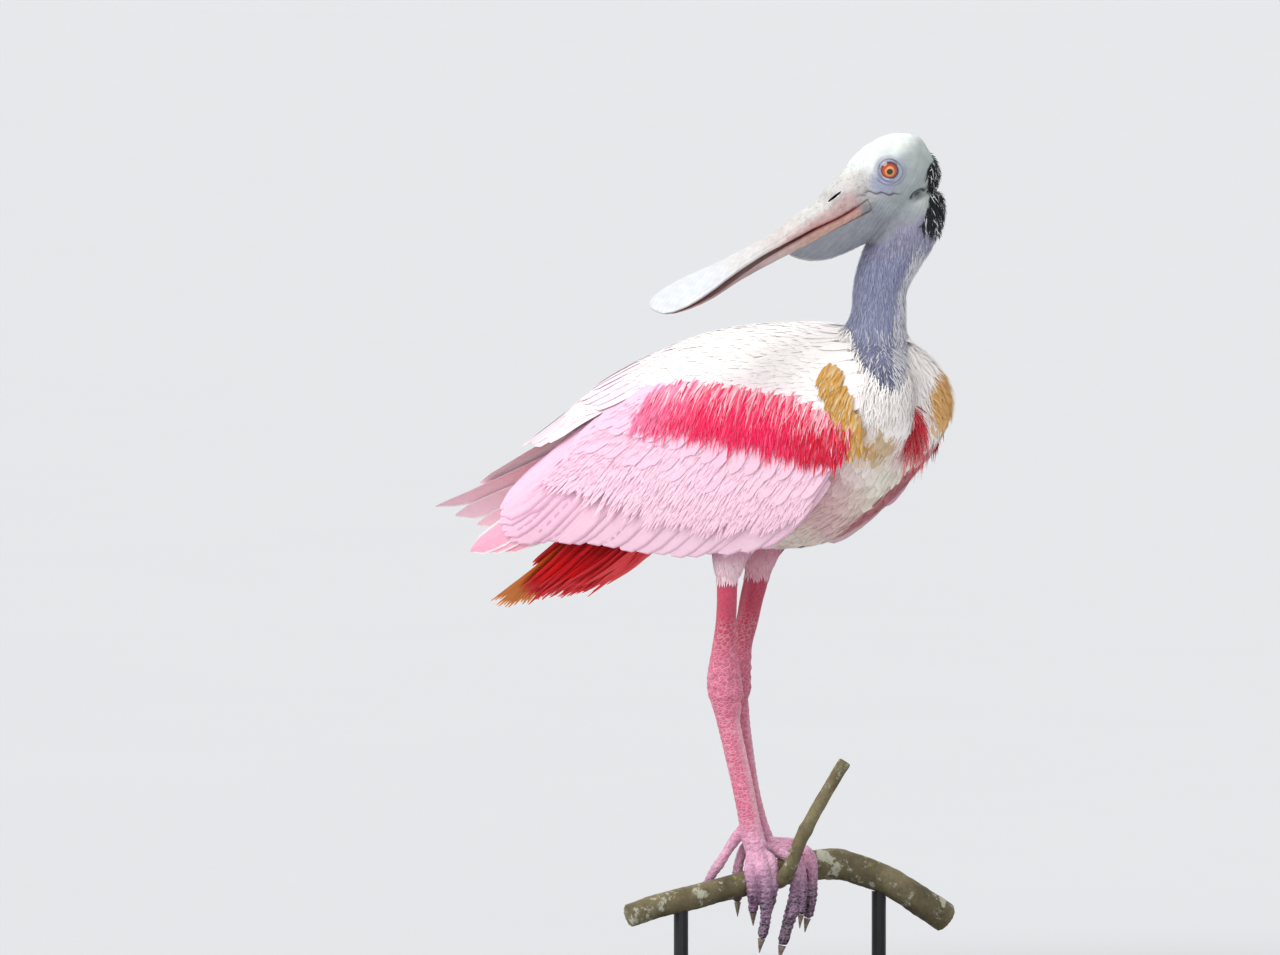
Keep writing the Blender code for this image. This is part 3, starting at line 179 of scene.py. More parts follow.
NOSTRIL_SIZE = (0.0064, 0.0022, 0.0007)
NOSTRIL_TILT = 13.0

# Legs: x, y, z, radius front to back. The right leg is the near one
RIGHT_LEG = (
    (-0.0264, -0.0200, 0.1760, 0.0068),
    (-0.0273, -0.0190, 0.1630, 0.0067),
    (-0.0296, -0.0170, 0.1475, 0.0069),
    (-0.0322, -0.0150, 0.1320, 0.0083),
    (-0.0334, -0.0132, 0.1183, 0.0108),
    (-0.0333, -0.0122, 0.1070, 0.0116),
    (-0.0319, -0.0120, 0.0970, 0.0098),
    (-0.0308, -0.0120, 0.0870, 0.0078),
    (-0.0270, -0.0120, 0.0727, 0.0073),
    (-0.0208, -0.0122, 0.0507, 0.0071),
    (-0.0161, -0.0124, 0.0320, 0.0070),
    (-0.0125, -0.0127, 0.0175, 0.0075),
    (-0.0085, -0.0131, 0.0080, 0.0078),
)
LEFT_LEG = (
    (-0.0315, 0.0200, 0.1760, 0.0080),
    (-0.0347, 0.0190, 0.1630, 0.0077),
    (-0.0367, 0.0170, 0.1490, 0.0073),
    (-0.0391, 0.0145, 0.1345, 0.0070),
    (-0.0400, 0.0125, 0.1220, 0.0083),
    (-0.0405, 0.0110, 0.1095, 0.0093),
    (-0.0398, 0.0100, 0.1000, 0.0080),
    (-0.0371, 0.0095, 0.0877, 0.0065),
    (-0.0349, 0.0090, 0.0753, 0.0063),
    (-0.0303, 0.0082, 0.0515, 0.0063),
    (-0.0257, 0.0068, 0.0360, 0.0063),
    (-0.0192, 0.0045, 0.0206, 0.0066),
    (-0.0120, 0.0020, 0.0100, 0.0066),
)
LEG_FLATNESS = 0.82
RIGHT_THIGH = (
    (-0.0150, -0.0190, 0.230, 0.0220),
    (-0.0195, -0.0190, 0.212, 0.0200),
    (-0.0235, -0.0194, 0.197, 0.0160),
    (-0.0255, -0.0198, 0.1865, 0.0128),
    (-0.0264, -0.0200, 0.1765, 0.0098),
)
LEFT_THIGH = (
    (-0.0180, 0.0190, 0.230, 0.0220),
    (-0.0230, 0.0190, 0.212, 0.0200),
    (-0.0270, 0.0194, 0.197, 0.0160),
    (-0.0295, 0.0198, 0.1865, 0.0130),
    (-0.0314, 0.0200, 0.1765, 0.0104),
)
THIGH_FLATNESS = 0.84

# Branch: distance along it, sideways bow, height of the axis, radius
BRANCH_TURN = 55.0
BRANCH = (
    (-0.102, 0.0040, -0.0300, 0.0073),
    (-0.078, 0.0010, -0.0241, 0.0076),
    (-0.053, 0.0000, -0.0193, 0.0077),
    (-0.023, 0.0000, -0.0126, 0.0078),
    (-0.005, 0.0000, -0.0079, 0.0084),
    (0.013, 0.0000, -0.0038, 0.0094),
    (0.033, 0.0000, -0.0024, 0.0100),
    (0.0465, 0.0000, -0.0045, 0.0096),
    (0.073, 0.0000, -0.0148, 0.0092),
    (0.100, -0.0020, -0.0312, 0.0095),
    (0.112, -0.0040, -0.0390, 0.0096),
)
# Twig: distance along the branch, in front of it, height, radius
TWIG = (
    (-0.0035, 0.0020, -0.0115, 0.0052),
    (-0.0035, 0.0110, -0.0100, 0.0052),
    (-0.0020, 0.0195, -0.0040, 0.0048),
    (0.0010, 0.0215, 0.0040, 0.0045),
    (0.0060, 0.0220, 0.0165, 0.0043),
    (0.0150, 0.0225, 0.0326, 0.0042),
    (0.0268, 0.0232, 0.0520, 0.0041),
    (0.0345, 0.0240, 0.0640, 0.0042),
)
# Toes: distance along the branch, in front of it, height, radius
RIGHT_TOES = {
    "middle": (
        (-0.0155, 0.0010, 0.0055, 0.0058),
        (-0.0158, 0.0068, 0.0022, 0.0052),
        (-0.0155, 0.0112, -0.0035, 0.0048),
        (-0.0146, 0.0130, -0.0112, 0.0044),
        (-0.0140, 0.0132, -0.0226, 0.0040),
        (-0.0143, 0.0124, -0.0350, 0.0036),
        (-0.0163, 0.0112, -0.0462, 0.0031),
    ),
    "outer": (
        (-0.0165, 0.0000, 0.0050, 0.0056),
        (-0.0215, 0.0060, -0.0010, 0.0045),
        (-0.0230, 0.0112, -0.0088, 0.0040),
        (-0.0224, 0.0112, -0.0160, 0.0037),
        (-0.0213, 0.0092, -0.0235, 0.0034),
        (-0.0204, 0.0068, -0.0300, 0.0030),
    ),
    "inner": (
        (-0.0150, 0.0010, 0.0055, 0.0054),
        (-0.0100, 0.0066, 0.0030, 0.0043),
        (-0.0092, 0.0112, -0.0032, 0.0038),
        (-0.0090, 0.0120, -0.0112, 0.0035),
        (-0.0088, 0.0100, -0.0190, 0.0032),
        (-0.0086, 0.0070, -0.0262, 0.0028),
    ),
    "hind": (
        (-0.0180, -0.0040, 0.0225, 0.0040),
        (-0.0215, -0.0085, 0.0205, 0.0036),
        (-0.0280, -0.0105, 0.0115, 0.0034),
        (-0.0350, -0.0110, 0.0010, 0.0032),
        (-0.0415, -0.0112, -0.0080, 0.0030),
        (-0.0465, -0.0112, -0.0175, 0.0026),
    ),
}
LEFT_TOES = {
    "middle": (
        (-0.0060, -0.0070, 0.0090, 0.0056),
        (-0.0010, -0.0020, 0.0070, 0.0050),
        (0.0040, 0.0070, 0.0040, 0.0045),
        (0.0068, 0.0132, -0.0045, 0.0042),
        (0.0060, 0.0128, -0.0150, 0.0042),
        (0.0040, 0.0118, -0.0275, 0.0041),
        (0.0005, 0.0112, -0.0400, 0.0039),
        (-0.0025, 0.0110, -0.0510, 0.0034),
    ),
    "inner": (
        (-0.0050, -0.0065, 0.0090, 0.0054),
        (0.0015, 0.0000, 0.0085, 0.0044),
        (0.0065, 0.0090, 0.0045, 0.0037),
        (0.0085, 0.0150, -0.0040, 0.0034),
        (0.0088, 0.0165, -0.0150, 0.0032),
        (0.0088, 0.0160, -0.0260, 0.0030),
        (0.0085, 0.0150, -0.0315, 0.0026),
    ),
    "outer": (
        (-0.0055, -0.0085, 0.0100, 0.0054),
        (0.0020, -0.0065, 0.0110, 0.0045),
        (0.0105, 0.0010, 0.0100, 0.0040),
        (0.0155, 0.0100, 0.0050, 0.0038),
        (0.0165, 0.0135, -0.0060, 0.0037),
        (0.0162, 0.0132, -0.0170, 0.0036),
        (0.0158, 0.0120, -0.0270, 0.0034),
        (0.0145, 0.0105, -0.0345, 0.0030),
    ),
    "hind": (
        (-0.0070, -0.0090, 0.0160, 0.0040),
        (-0.0125, -0.0125, 0.0135, 0.0036),
        (-0.0195, -0.0135, 0.0065, 0.0034),
        (-0.0232, -0.0128, -0.0040, 0.0032),
        (-0.0240, -0.0118, -0.0160, 0.0030),
        (-0.0248, -0.0095, -0.0250, 0.0027),
    ),
}
PAD_SIZE = (0.0066, 0.0064, 0.0066)
LEGS = ((RIGHT_LEG, RIGHT_TOES, RIGHT_THIGH), (LEFT_LEG, LEFT_TOES, LEFT_THIGH))

# Lower edge of the wing's fleshy part: x and degrees round the folded-wing surface
ARM = (
    (-0.128, 16.0),
    (-0.110, 4.0),
    (-0.085, -6.0),
    (-0.044, -20.0),
    (0.003, -29.0),
    (0.040, -31.0),
    (0.065, -27.0),
    (0.085, -19.0),
    (0.093, -13.0),
)
# Wing tiers: x and degrees of the first to the last feather's root and tip, on the same surface
FLIGHT_ROOTS = ((0.066, -22), (0.010, -14), (-0.045, 4), (-0.082, 20), (-0.084, 31))
FLIGHT_TIPS = {
    "right": ((0.008, -43), (-0.064, -44), (-0.132, -37), (-0.188, -26), (-0.197, 4)),
    "left": ((0.008, -43), (-0.064, -44), (-0.132, -37), (-0.196, -14), (-0.232, 74)),
}
GREATER_ROOTS = ((0.074, -10), (0.020, 0), (-0.040, 18), (-0.078, 33))
GREATER_TIPS = ((0.044, -32), (-0.028, -27), (-0.096, -12), (-0.150, 10))
MEDIAN_ROOTS = ((0.082, 0), (0.030, 14), (-0.030, 29), (-0.070, 37))
MEDIAN_TIPS = ((0.066, -19), (0.005, -12), (-0.060, 5), (-0.112, 25))
BAND_ROOTS = ((0.086, 5), (0.045, 25), (0.000, 34), (-0.058, 41))
BAND_TIPS = ((0.079, -14), (0.035, -2), (-0.014, 6), (-0.080, 17))
PRIMARY_ROOTS = ((-0.070, -4), (-0.086, 4), (-0.094, 12))
PRIMARY_TIPS = {
    "right": ((-0.184, -31), (-0.208, -30), (-0.226, -22)),
    "left": ((-0.222, -4), (-0.252, 20), (-0.266, 70)),
}
SCAPULAR_TIERS = (
    (9, ((-0.070, 48), (-0.060, 66), (-0.052, 80), (-0.050, 96)),
     ((-0.160, 42), (-0.178, 55), (-0.187, 70), (-0.191, 92)), (0.020, 0.022), (-0.0032, 0.0008), 320),
    (8, ((-0.030, 50), (-0.025, 66), (-0.020, 80), (-0.020, 95)),
     ((-0.118, 40), (-0.130, 54), (-0.138, 70), (-0.142, 92)), (0.018, 0.020), (-0.0026, 0.0012), 330),
)

# Tail
TAIL_ROOT = (-0.1400, 0.0, 0.2105)
TAIL_ROOT_SIZE = (0.036, 0.016, 0.008)
TAIL_DIP = 42.0
TAIL_LENGTH = 0.088
TAIL_SPREAD = 18.0
VENT_ROOTS = ((-0.146, 0.208), (-0.118, 0.200), (-0.092, 0.197))
VENT_TIPS = ((-0.196, 0.158), (-0.170, 0.159), (-0.136, 0.168))

# How far the feather coat stands over the skin
COAT_DEPTH = 0.0032

# Grain of each skin: the size of the cells that it is joined from
BODY_GRAIN = 0.0024
HEAD_GRAIN = 0.00080
LEG_GRAIN = 0.00072
BRANCH_GRAIN = 0.00090

# How many feathers the coats that are not grown from the skin have
TUFT_COUNT = 420
BAND_COUNT = 3900
SILK_COUNT = 2600
BACK_COUNT = 2200
GOLD_TRIES = 5000
VENT_COUNT = 150


def srgb(red, green, blue):
    """A colour from its screen values, 0 to 255, as light."""
    share = np.array((red, green, blue)) / 255
    return np.where(share <= 0.04045, share / 12.92, ((share + 0.055) / 1.055) ** 2.4)


def unit(vectors):
    return vectors / np.maximum(np.linalg.norm(vectors, axis=-1, keepdims=True), 1e-12)


def smooth(low, high, value):
    """0 below low, 1 above high, and an even rise between them."""
    share = np.clip((value - low) / (high - low), 0.0, 1.0)
    return share * share * (3 - 2 * share)


def peak(value, middle, width):
    """1 at the middle, falling away on both sides like a bell."""
    return np.exp(-(((value - middle) / width) ** 2))


def blend(first, second, share):
    share = np.asarray(share)[..., None]
    return first * (1 - share) + second * share


def paint(tint, *layers):
    """A colour with others laid over it, each with the share that it takes."""
    for colour, share in layers:
        tint = blend(tint, colour, share)
    return tint


def curve(table, x):
    """The columns of a station table at each x, on a smooth curve through its rows."""
    rows = np.asarray(table, float)
    stations, values = rows[:, 0], rows[:, 1:]
    slopes = np.gradient(values, stations, axis=0)
    x = np.clip(np.asarray(x, float), stations[0], stations[-1])
    i = np.clip(np.searchsorted(stations, x, side="right") - 1, 0, len(stations) - 2)
    span = (stations[i + 1] - stations[i])[..., None]
    t = (x - stations[i])[..., None] / span
    made = (2 * t**3 - 3 * t**2 + 1) * values[i] + (3 * t**2 - 2 * t**3) * values[i + 1]
    made = made + span * ((t**3 - 2 * t**2 + t) * slopes[i] + (t**3 - t**2) * slopes[i + 1])
    return np.moveaxis(made, -1, 0)


def path(rows, share):
    """The columns of an evenly numbered path at each share of it."""
    numbered = [(i, *row) for i, row in enumerate(rows)]
    return curve(numbered, np.asarray(share, float) * (len(rows) - 1))


def profile(shares, stops):
    return np.interp(shares, *zip(*stops))


def ripple(places, size, seed):
    """Soft random waves over space, between about -1 and 1."""
    dice = np.random.default_rng(seed)
    made = 0.0
    for _ in range(5):
        heading = unit(dice.normal(size=3)) / size * dice.uniform(0.7, 1.5) * 2 * math.pi
        made = made + np.sin(places @ heading + dice.uniform(0, 2 * math.pi))
    return made / 3


def mottled(tint, places, share, size, seed):
    return tint * (1 + share * ripple(places, size, seed))[:, None]


def low(places):
    """World places, measured from the top of the branch."""
    return places - FEET


def across(places):
    """How far to the picture's right a place lies from the feet."""
    yaw = math.radians(CAMERA_YAW)
    return low(places) @ np.array([math.cos(yaw), math.sin(yaw), 0.0])


# Meshes

# Cross sections of feathers: across and up
LENS = ((1.0, 0.0, -1.0, 0.0), (0.0, 1.0, 0.0, -1.0))
BLADE = ((1.0, 0.0, -1.0), (0.0, 1.0, 0.0))
BROAD = (
    (1.0, 0.66, 0.33, 0.0, -0.33, -0.66, -1.0, -0.66, -0.33, 0.0, 0.33, 0.66),
    (0.0, 0.9, 1.0, 1.9, 1.0, 0.9, 0.0, -0.9, -1.0, -1.0, -1.0, -0.9),
)
# Outlines of feathers: share of the length and share of the width
FLIGHT_SHAPE = ((0, 0.30), (0.10, 0.62), (0.45, 1.0), (0.80, 0.93), (0.92, 0.70), (0.98, 0.36), (1, 0.10))
COVERT_SHAPE = ((0, 0.45), (0.30, 0.90), (0.62, 1.0), (0.85, 0.80), (0.95, 0.48), (1, 0.12))
PLUME_SHAPE = ((0, 0.70), (0.40, 1.0), (0.75, 0.72), (1, 0.08))
WISP_SHAPE = ((0, 0.80), (0.35, 1.0), (0.75, 0.55), (1, 0.06))


def link(name, data, finish=None):
    obj = bpy.data.objects.new(name, data)
    bpy.context.scene.collection.objects.link(obj)
    if finish:
        data.materials.append(finish)
    return obj


def dress(obj, slot, *replaced):
    """Hands a piece over: what it moves with and the nodes that it stands for. Its colour slot is not used.
    """
    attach(obj, "root")
    if replaced:
        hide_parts(*replaced)


def set_tint(mesh, colours, wear=1.0):
    """Colours at a mesh's points, and how speckled its skin or horn is there."""
    rgba = np.ones((len(mesh.vertices), 4), np.float32)
    rgba[:, :3] = np.clip(colours, 0, 1)
    rgba[:, 3] = wear
    mesh.attributes.new("tint", "FLOAT_COLOR", "POINT").data.foreach_set("color", rgba.ravel())


def vectors(items, name):
    """One vector of each item of a mesh, as an array."""
    values = np.empty(len(items) * 3, np.float32)
    items.foreach_get(name, values)
    return values.reshape(-1, 3).astype(float)


def places_and_normals(mesh):
    return vectors(mesh.vertices, "co"), vectors(mesh.vertex_normals, "vector")


def set_places(mesh, places):
    mesh.vertices.foreach_set("co", places.astype(np.float32).ravel())
    mesh.update()


def raw_mesh(name, points, sizes, corners):
    """A mesh from points, the corner count of each face and the faces' corners."""
    mesh = bpy.data.meshes.new(name)
    mesh.vertices.add(len(points))
    mesh.vertices.foreach_set("co", points.astype(np.float32).ravel())
    mesh.loops.add(len(corners))
    mesh.loops.foreach_set("vertex_index", corners.astype(np.int32))
    mesh.polygons.add(len(sizes))
    starts = np.concatenate(([0], np.cumsum(sizes)[:-1])).astype(np.int32)
    mesh.polygons.foreach_set("loop_start", starts)
    mesh.update(calc_edges=True)
    mesh.validate()
    mesh.shade_smooth()
    return mesh


def settle(body, mesh):
    body.to_mesh(mesh)
    body.free()
    return mesh


def shaped(name, operator, place=Matrix.Identity(4), **sizes):
    """A mesh from one of bmesh's own forms, moved to its place."""
    body = bmesh.new()
    operator(body, **sizes)
    body.transform(place)
    return settle(body, bpy.data.meshes.new(name))


def ball_mesh(place, size):
    spread = Matrix.Diagonal((*size, 1.0))
    return shaped("ball", bmesh.ops.create_uvsphere, place @ spread, u_segments=32, v_segments=20, radius=1.0)


def modify(obj, kind, **settings):
    modifier = obj.modifiers.new(kind.lower(), kind)
    for name, value in settings.items():
        setattr(modifier, name, value)


def bake(obj):
    """Turns what an object's modifiers make into its mesh."""
    bpy.context.view_layer.update()
    graph = bpy.context.evaluated_depsgraph_get()
    made = bpy.data.meshes.new_from_object(obj.evaluated_get(graph))
    obj.modifiers.clear()
    obj.data = made


def voxel_join(name, meshes, size, smoothing, finish):
    """One closed skin round several closed meshes."""
    body = bmesh.new()
    for mesh in meshes:
        body.from_mesh(mesh)
    obj = link(name, settle(body, bpy.data.meshes.new(name)))
    modify(obj, "REMESH", mode="VOXEL", voxel_size=size, adaptivity=0.0)
    modify(obj, "SMOOTH", factor=0.5, iterations=smoothing)
    bake(obj)
    obj.data.materials.clear()
    obj.data.materials.append(finish)
    obj.data.shade_smooth()
    return obj


def combine(obj, others, **settings):
    """Cuts closed objects from another, or fuses them with it."""
    for other in others:
        modify(obj, "BOOLEAN", object=other, solver="MANIFOLD", **settings)
    bake(obj)
    for other in others:
        bpy.data.objects.remove(other)
    obj.data.shade_smooth()


def refine(obj, chosen):
    """Splits the faces whose middles are chosen into finer ones."""
    body = bmesh.new()
    body.from_mesh(obj.data)
    body.faces.ensure_lookup_table()
    middles = np.array([f.calc_center_median() for f in body.faces])
    picked = [f for f, keep in zip(body.faces, chosen(middles)) if keep]
    edges = list({e for f in picked for e in f.edges})
    bmesh.ops.subdivide_edges(body, edges=edges, cuts=1, use_grid_fill=True, smooth=0.6)
    settle(body, obj.data)


def displace(obj, relief):
    places, normals = places_and_normals(obj.data)
    set_places(obj.data, places + normals * relief(places)[:, None])


class Coat:
    """Feathers gathered in batches and made into one mesh."""

    def __init__(self):
        self.points, self.tints, self.vane, self.bake, self.sizes, self.corners = ([] for _ in range(6))
        self.count = 0

    def add(self, points, ring, tints, place, fade=1.0):
        """Feathers of equal make: points are feather, step along it, place round it, xyz.

        Tints are those of the roots and of the tips, and place is each feather's own in the bake map.
        """
        n, steps, sides = points.shape[:3]
        share = np.linspace(0, 1, steps)
        first, second = (np.broadcast_to(np.clip(tint, 0, 1), (n, 3))[:, None] for tint in tints)
        mixed = blend(first, second, share[None, :] ** fade)
        self.tints.append(np.repeat(mixed[:, :, None], sides, axis=2).reshape(-1, 3))
        local = np.empty((n, steps, sides, 2))
        local[..., 0] = np.array(ring[0]) * 0.5 + 0.5
        local[..., 1] = share[None, :, None]
        self.vane.append(local.reshape(-1, 2))
        self.bake.append((place[:, None, None] + (local - 0.5) * 0.003).reshape(-1, 2))
        self.points.append(points.reshape(-1, 3))
        f, k, j = np.meshgrid(np.arange(n), np.arange(steps - 1), np.arange(sides), indexing="ij")
        a = f * steps * sides + k * sides + j
        b = f * steps * sides + k * sides + (j + 1) % sides
        quads = np.stack((a, a + sides, b + sides, b), -1).reshape(-1, 4) + self.count
        roots = np.arange(n)[:, None] * steps * sides + np.arange(sides) + self.count
        ends = (roots + (steps - 1) * sides)[:, ::-1]
        if self.inside_out(points[0].reshape(-1, 3), quads[: (steps - 1) * sides] - self.count):
            quads, roots, ends = quads[:, ::-1], roots[:, ::-1], ends[:, ::-1]
        for faces in (quads, roots, ends):
            self.sizes.append(np.full(len(faces), faces.shape[1]))
            self.corners.append(faces.ravel())
        self.count += n * steps * sides

    @staticmethod
    def inside_out(body, quads):
        tris = np.concatenate((body[quads[:, [0, 1, 2]]], body[quads[:, [0, 2, 3]]]))
        tris = tris - body.mean(axis=0)
        return np.einsum("ij,ij->", tris[:, 0], np.cross(tris[:, 1], tris[:, 2])) < 0

    def make(self, name, finish, slot, *replaced):
        points, sizes, corners = (np.concatenate(part) for part in (self.points, self.sizes, self.corners))
        mesh = raw_mesh(name, points, sizes, corners)
        mesh.shade_flat()
        set_tint(mesh, np.concatenate(self.tints))
        order = np.empty(len(mesh.loops), np.int32)
        mesh.loops.foreach_get("vertex_index", order)
        for layer, values in (("OFBake", self.bake), ("vane", self.vane)):
            uv = mesh.uv_layers.new(name=layer)
            uv.data.foreach_set("uv", np.concatenate(values)[order].astype(np.float32).ravel())
        dress(link(name, mesh, finish), slot, *replaced)
        print(name, sizes.sum() - 2 * len(sizes), "triangles")


def sweep(centre, normal, half, thick, ring, cup=0.0):
    """Cross sections along feathers: centre and normal are feather, step, xyz."""
    along = unit(np.gradient(centre, axis=1))
    side = unit(np.cross(along, normal))
    ring_x, ring_z = np.array(ring)
    reach = half[..., None] * ring_x
    rise = ring_z * thick[..., None] - cup * ring_x**2 * half[..., None]
    return centre[:, :, None] + side[:, :, None] * reach[..., None] + normal[:, :, None] * rise[..., None]


# Materials


class Look:
    """A material on one Principled shader, with short names for its nodes."""

    def __init__(self, name, **sockets):
        self.material = bpy.data.materials.new(name)
        self.material.use_nodes = True
        self.tree = self.material.node_tree
        self.shader = self.tree.nodes["Principled BSDF"]
        for socket, value in sockets.items():
            self.put(self.shader.inputs[socket.replace("_", " ")], value)
        self.place = self.node("TexCoord", {}, "Object")

    def put(self, socket, value):
        """Links a socket to another node's output, or sets its value."""
        if isinstance(value, bpy.types.NodeSocket):
            self.tree.links.new(value, socket)
        else:
            socket.default_value = value

    def node(self, kind, inputs, output=0, **settings):
        made = self.tree.nodes.new("ShaderNode" + kind)
        for name, value in settings.items():
            setattr(made, name, value)
        for socket, value in inputs.items():
            self.put(made.inputs[socket], value)
        return made.outputs[output]

    def tint(self, part="Color"):
        return self.node("Attribute", {}, part, attribute_name="tint")

    def stretched(self, source, scale):
        return self.node("Mapping", {"Vector": source, "Scale": scale})

    def noise(self, scale, detail=3.0, rough=0.55, source=None):
        inputs = {"Vector": source or self.place, "Scale": scale, "Detail": detail, "Roughness": rough}
        return self.node("TexNoise", inputs, "Fac")

    def cells(self, source, scale, feature="F1"):
        return self.node("TexVoronoi", {"Vector": source, "Scale": scale}, "Distance", feature=feature)

    def ramp(self, value, *stops):
        made = self.node("ValToRGB", {"Fac": value})
        elements = made.node.color_ramp.elements
        while len(elements) < len(stops):
            elements.new(0.5)
        for element, (place, colour) in zip(elements, stops):
            element.position = place
            element.color = (*(np.ones(3) * colour), 1.0)
        return made

    def mix(self, share, first, second, mode="MIX"):
        first, second = (c if isinstance(c, bpy.types.NodeSocket) else (*c, 1.0) for c in (first, second))
        return self.node("Mix", {0: share, 6: first, 7: second}, 2, data_type="RGBA", blend_type=mode)

    def shade(self, colour, value, *stops):
        """A colour darkened or lightened by a ramp of value."""
        return self.mix(1.0, colour, self.ramp(value, *stops), "MULTIPLY")

    def math(self, kind, first, second=0.0):
        return self.node("Math", {0: first, 1: second}, operation=kind)

    def finish(self, colour, height=None, depth=0.0, roughness=None):
        self.put(self.shader.inputs["Base Color"], colour)
        if height is not None:
            bump = self.node("Bump", {"Height": height, "Distance": depth}, "Normal")
            self.put(self.shader.inputs["Normal"], bump)
        if roughness is not None:
            self.put(self.shader.inputs["Roughness"], roughness)
        return self.material


def feather_look(name, barb, depth, shade, rim=None, rim_share=0.0):
    """Barbs that slant away from the shaft, read from each feather's own map, and edges of another colour:
    pale edges, or a dark line of painted shade in the gaps between feathers.
    """
    look = Look(name, Roughness=0.62, Sheen_Weight=0.06, Specular_IOR_Level=0.25)
    vane = look.node("UVMap", {}, "UV", uv_map="vane")
    x, y, _ = look.node("SeparateXYZ", {"Vector": vane}).node.outputs
    out = look.math("ABSOLUTE", look.math("SUBTRACT", x, 0.5))
    slant = look.math("SUBTRACT", y, look.math("MULTIPLY", out, 0.30))
    line = look.node("CombineXYZ", {"X": slant, "Y": look.math("MULTIPLY", out, 0.04)})
    barbs = look.noise(1.0, 3.0, 0.7, look.stretched(line, (barb, barb, 1.0)))
    colour = look.shade(look.tint(), barbs, (0.25, 1.0 - shade), (0.75, 1.0))
    colour = look.shade(colour, look.noise(260.0, 2.0), (0.3, 1.0 - shade * 0.6), (0.7, 1.0))
    if rim is not None:
        # Edges towards the tip take the rim colour: a pale edge, or painted shade in the gaps between
        # feathers
        edge = look.shade(look.ramp(out, (0.38, 0.0), (0.47, rim_share)), y, (0.30, 0.0), (0.70, 1.0))
        colour = look.mix(edge, colour, rim)
    return look.finish(colour, barbs, depth)


def wisp_look(name, shade=0.14):
    look = Look(name, Roughness=0.62, Sheen_Weight=0.05, Specular_IOR_Level=0.25)
    return look.finish(look.shade(look.tint(), look.noise(420.0, 2.0), (0.3, 1.0 - shade), (0.7, 1.0)))


def bare_skin_look():
    """Bare skin: its tint, fine spots, small cells and pores."""
    look = Look("bare_skin", Roughness=0.50, Specular_IOR_Level=0.45, Subsurface_Weight=0.10,
                Subsurface_Radius=(0.002, 0.001, 0.0008), Subsurface_Scale=1.0)
    colour = look.shade(look.tint(), look.noise(160.0, 4.0), (0.25, 0.86), (0.75, 1.08))
    spots = look.ramp(look.noise(540.0, 2.0), (0.54, 0.0), (0.64, 0.30))
    colour = look.mix(look.math("MULTIPLY", spots, look.tint("Alpha")), colour, srgb(92, 84, 96))
    cells = look.ramp(look.cells(look.place, 1300.0), (0.0, 1.0), (0.6, 0.0))
    pores = look.ramp(look.noise(900.0, 3.0), (0.2, 0.0), (0.8, 1.0))
    return look.finish(colour, look.mix(0.5, cells, pores), 0.00010)


def scale_look():
    """Leg skin: small plates with pale joints."""
    look = Look("leg_skin", Roughness=0.42, Subsurface_Weight=0.06, Subsurface_Radius=(0.002, 0.0008, 0.0006))
    edges = look.cells(look.stretched(look.place, (1.0, 1.0, 1.5)), 310.0, "DISTANCE_TO_EDGE")
    net = look.tint("Alpha")
    joint = look.math("MULTIPLY", look.ramp(edges, (0.02, 1.0), (0.14, 0.0)), net)
    colour = look.shade(look.tint(), look.noise(150.0, 3.0), (0.3, 0.88), (0.7, 1.08))
    pale = look.mix(0.60, look.tint(), (0.90, 0.76, 0.82))
    colour = look.mix(look.math("MULTIPLY", joint, 0.36), colour, pale)
    height = look.math("MULTIPLY", look.ramp(edges, (0.0, 0.0), (0.20, 1.0)), net)
    return look.finish(colour, height, 0.00030)


def horn_look():
    look = Look("bill_horn", Roughness=0.50, Specular_IOR_Level=0.35)
    wear = look.tint("Alpha")
    colour = look.shade(look.tint(), look.noise(110.0, 5.0), (0.3, 0.93), (0.7, 1.04))
    specks = look.ramp(look.noise(380.0, 6.0, 0.8), (0.52, 0.0), (0.68, 0.55))
    colour = look.mix(look.math("MULTIPLY", specks, wear), colour, srgb(104, 94, 90))
    grain = look.ramp(look.noise(520.0, 4.0), (0.25, 0.0), (0.75, 1.0))
    return look.finish(colour, look.math("MULTIPLY", grain, wear), 0.00022)


def bark_look():
    look = Look("bark", Roughness=0.86)
    broad, fine = look.noise(45.0, 6.0), look.noise(420.0, 6.0, 0.65)
    colour = look.ramp(broad, (0.25, srgb(70, 62, 44)), (0.5, srgb(108, 98, 70)), (0.75, srgb(136, 126, 96)))
    colour = look.shade(colour, fine, (0.3, 0.72), (0.7, 1.15))
    patches = look.ramp(look.noise(75.0, 5.0, 0.7), (0.56, 0.0), (0.62, 0.85))
    colour = look.mix(patches, colour, srgb(178, 178, 160))
    moss = look.ramp(look.noise(130.0, 4.0, 0.7), (0.62, 0.0), (0.68, 0.7))
    colour = look.mix(moss, colour, srgb(132, 140, 74))
    return look.finish(colour, look.mix(0.5, fine, broad), 0.0007)


def metal_look():
    look = Look("stand_metal", Metallic=0.7, Roughness=0.42)
    worn = look.noise(30.0, 5.0)
    colour = look.ramp(worn, (0.3, srgb(38, 38, 40)), (0.7, srgb(56, 56, 58)))
    return look.finish(colour, look.noise(1600.0, 2.0), 0.00004, look.ramp(worn, (0.3, 0.36), (0.7, 0.52)))


def claw_look():
    look = Look("claw", Roughness=0.35)
    grain = look.noise(500.0, 4.0)
    return look.finish(look.ramp(grain, (0.3, srgb(92, 72, 68)), (0.7, srgb(176, 156, 140))), grain, 0.0001)


def eye_look():
    look = Look("eye", Roughness=0.08, Coat_Weight=1.0, Coat_Roughness=0.02)
    return look.finish(look.shade(look.tint(), look.noise(2600.0, 3.0), (0.3, 0.80), (0.7, 1.15)))


def floor_look():
    look = Look("floor", Roughness=0.75)
    colour = look.ramp(look.noise(3.0, 4.0), (0.3, srgb(196, 197, 199)), (0.7, srgb(197, 198, 200)))
    return look.finish(colour)


# Surfaces


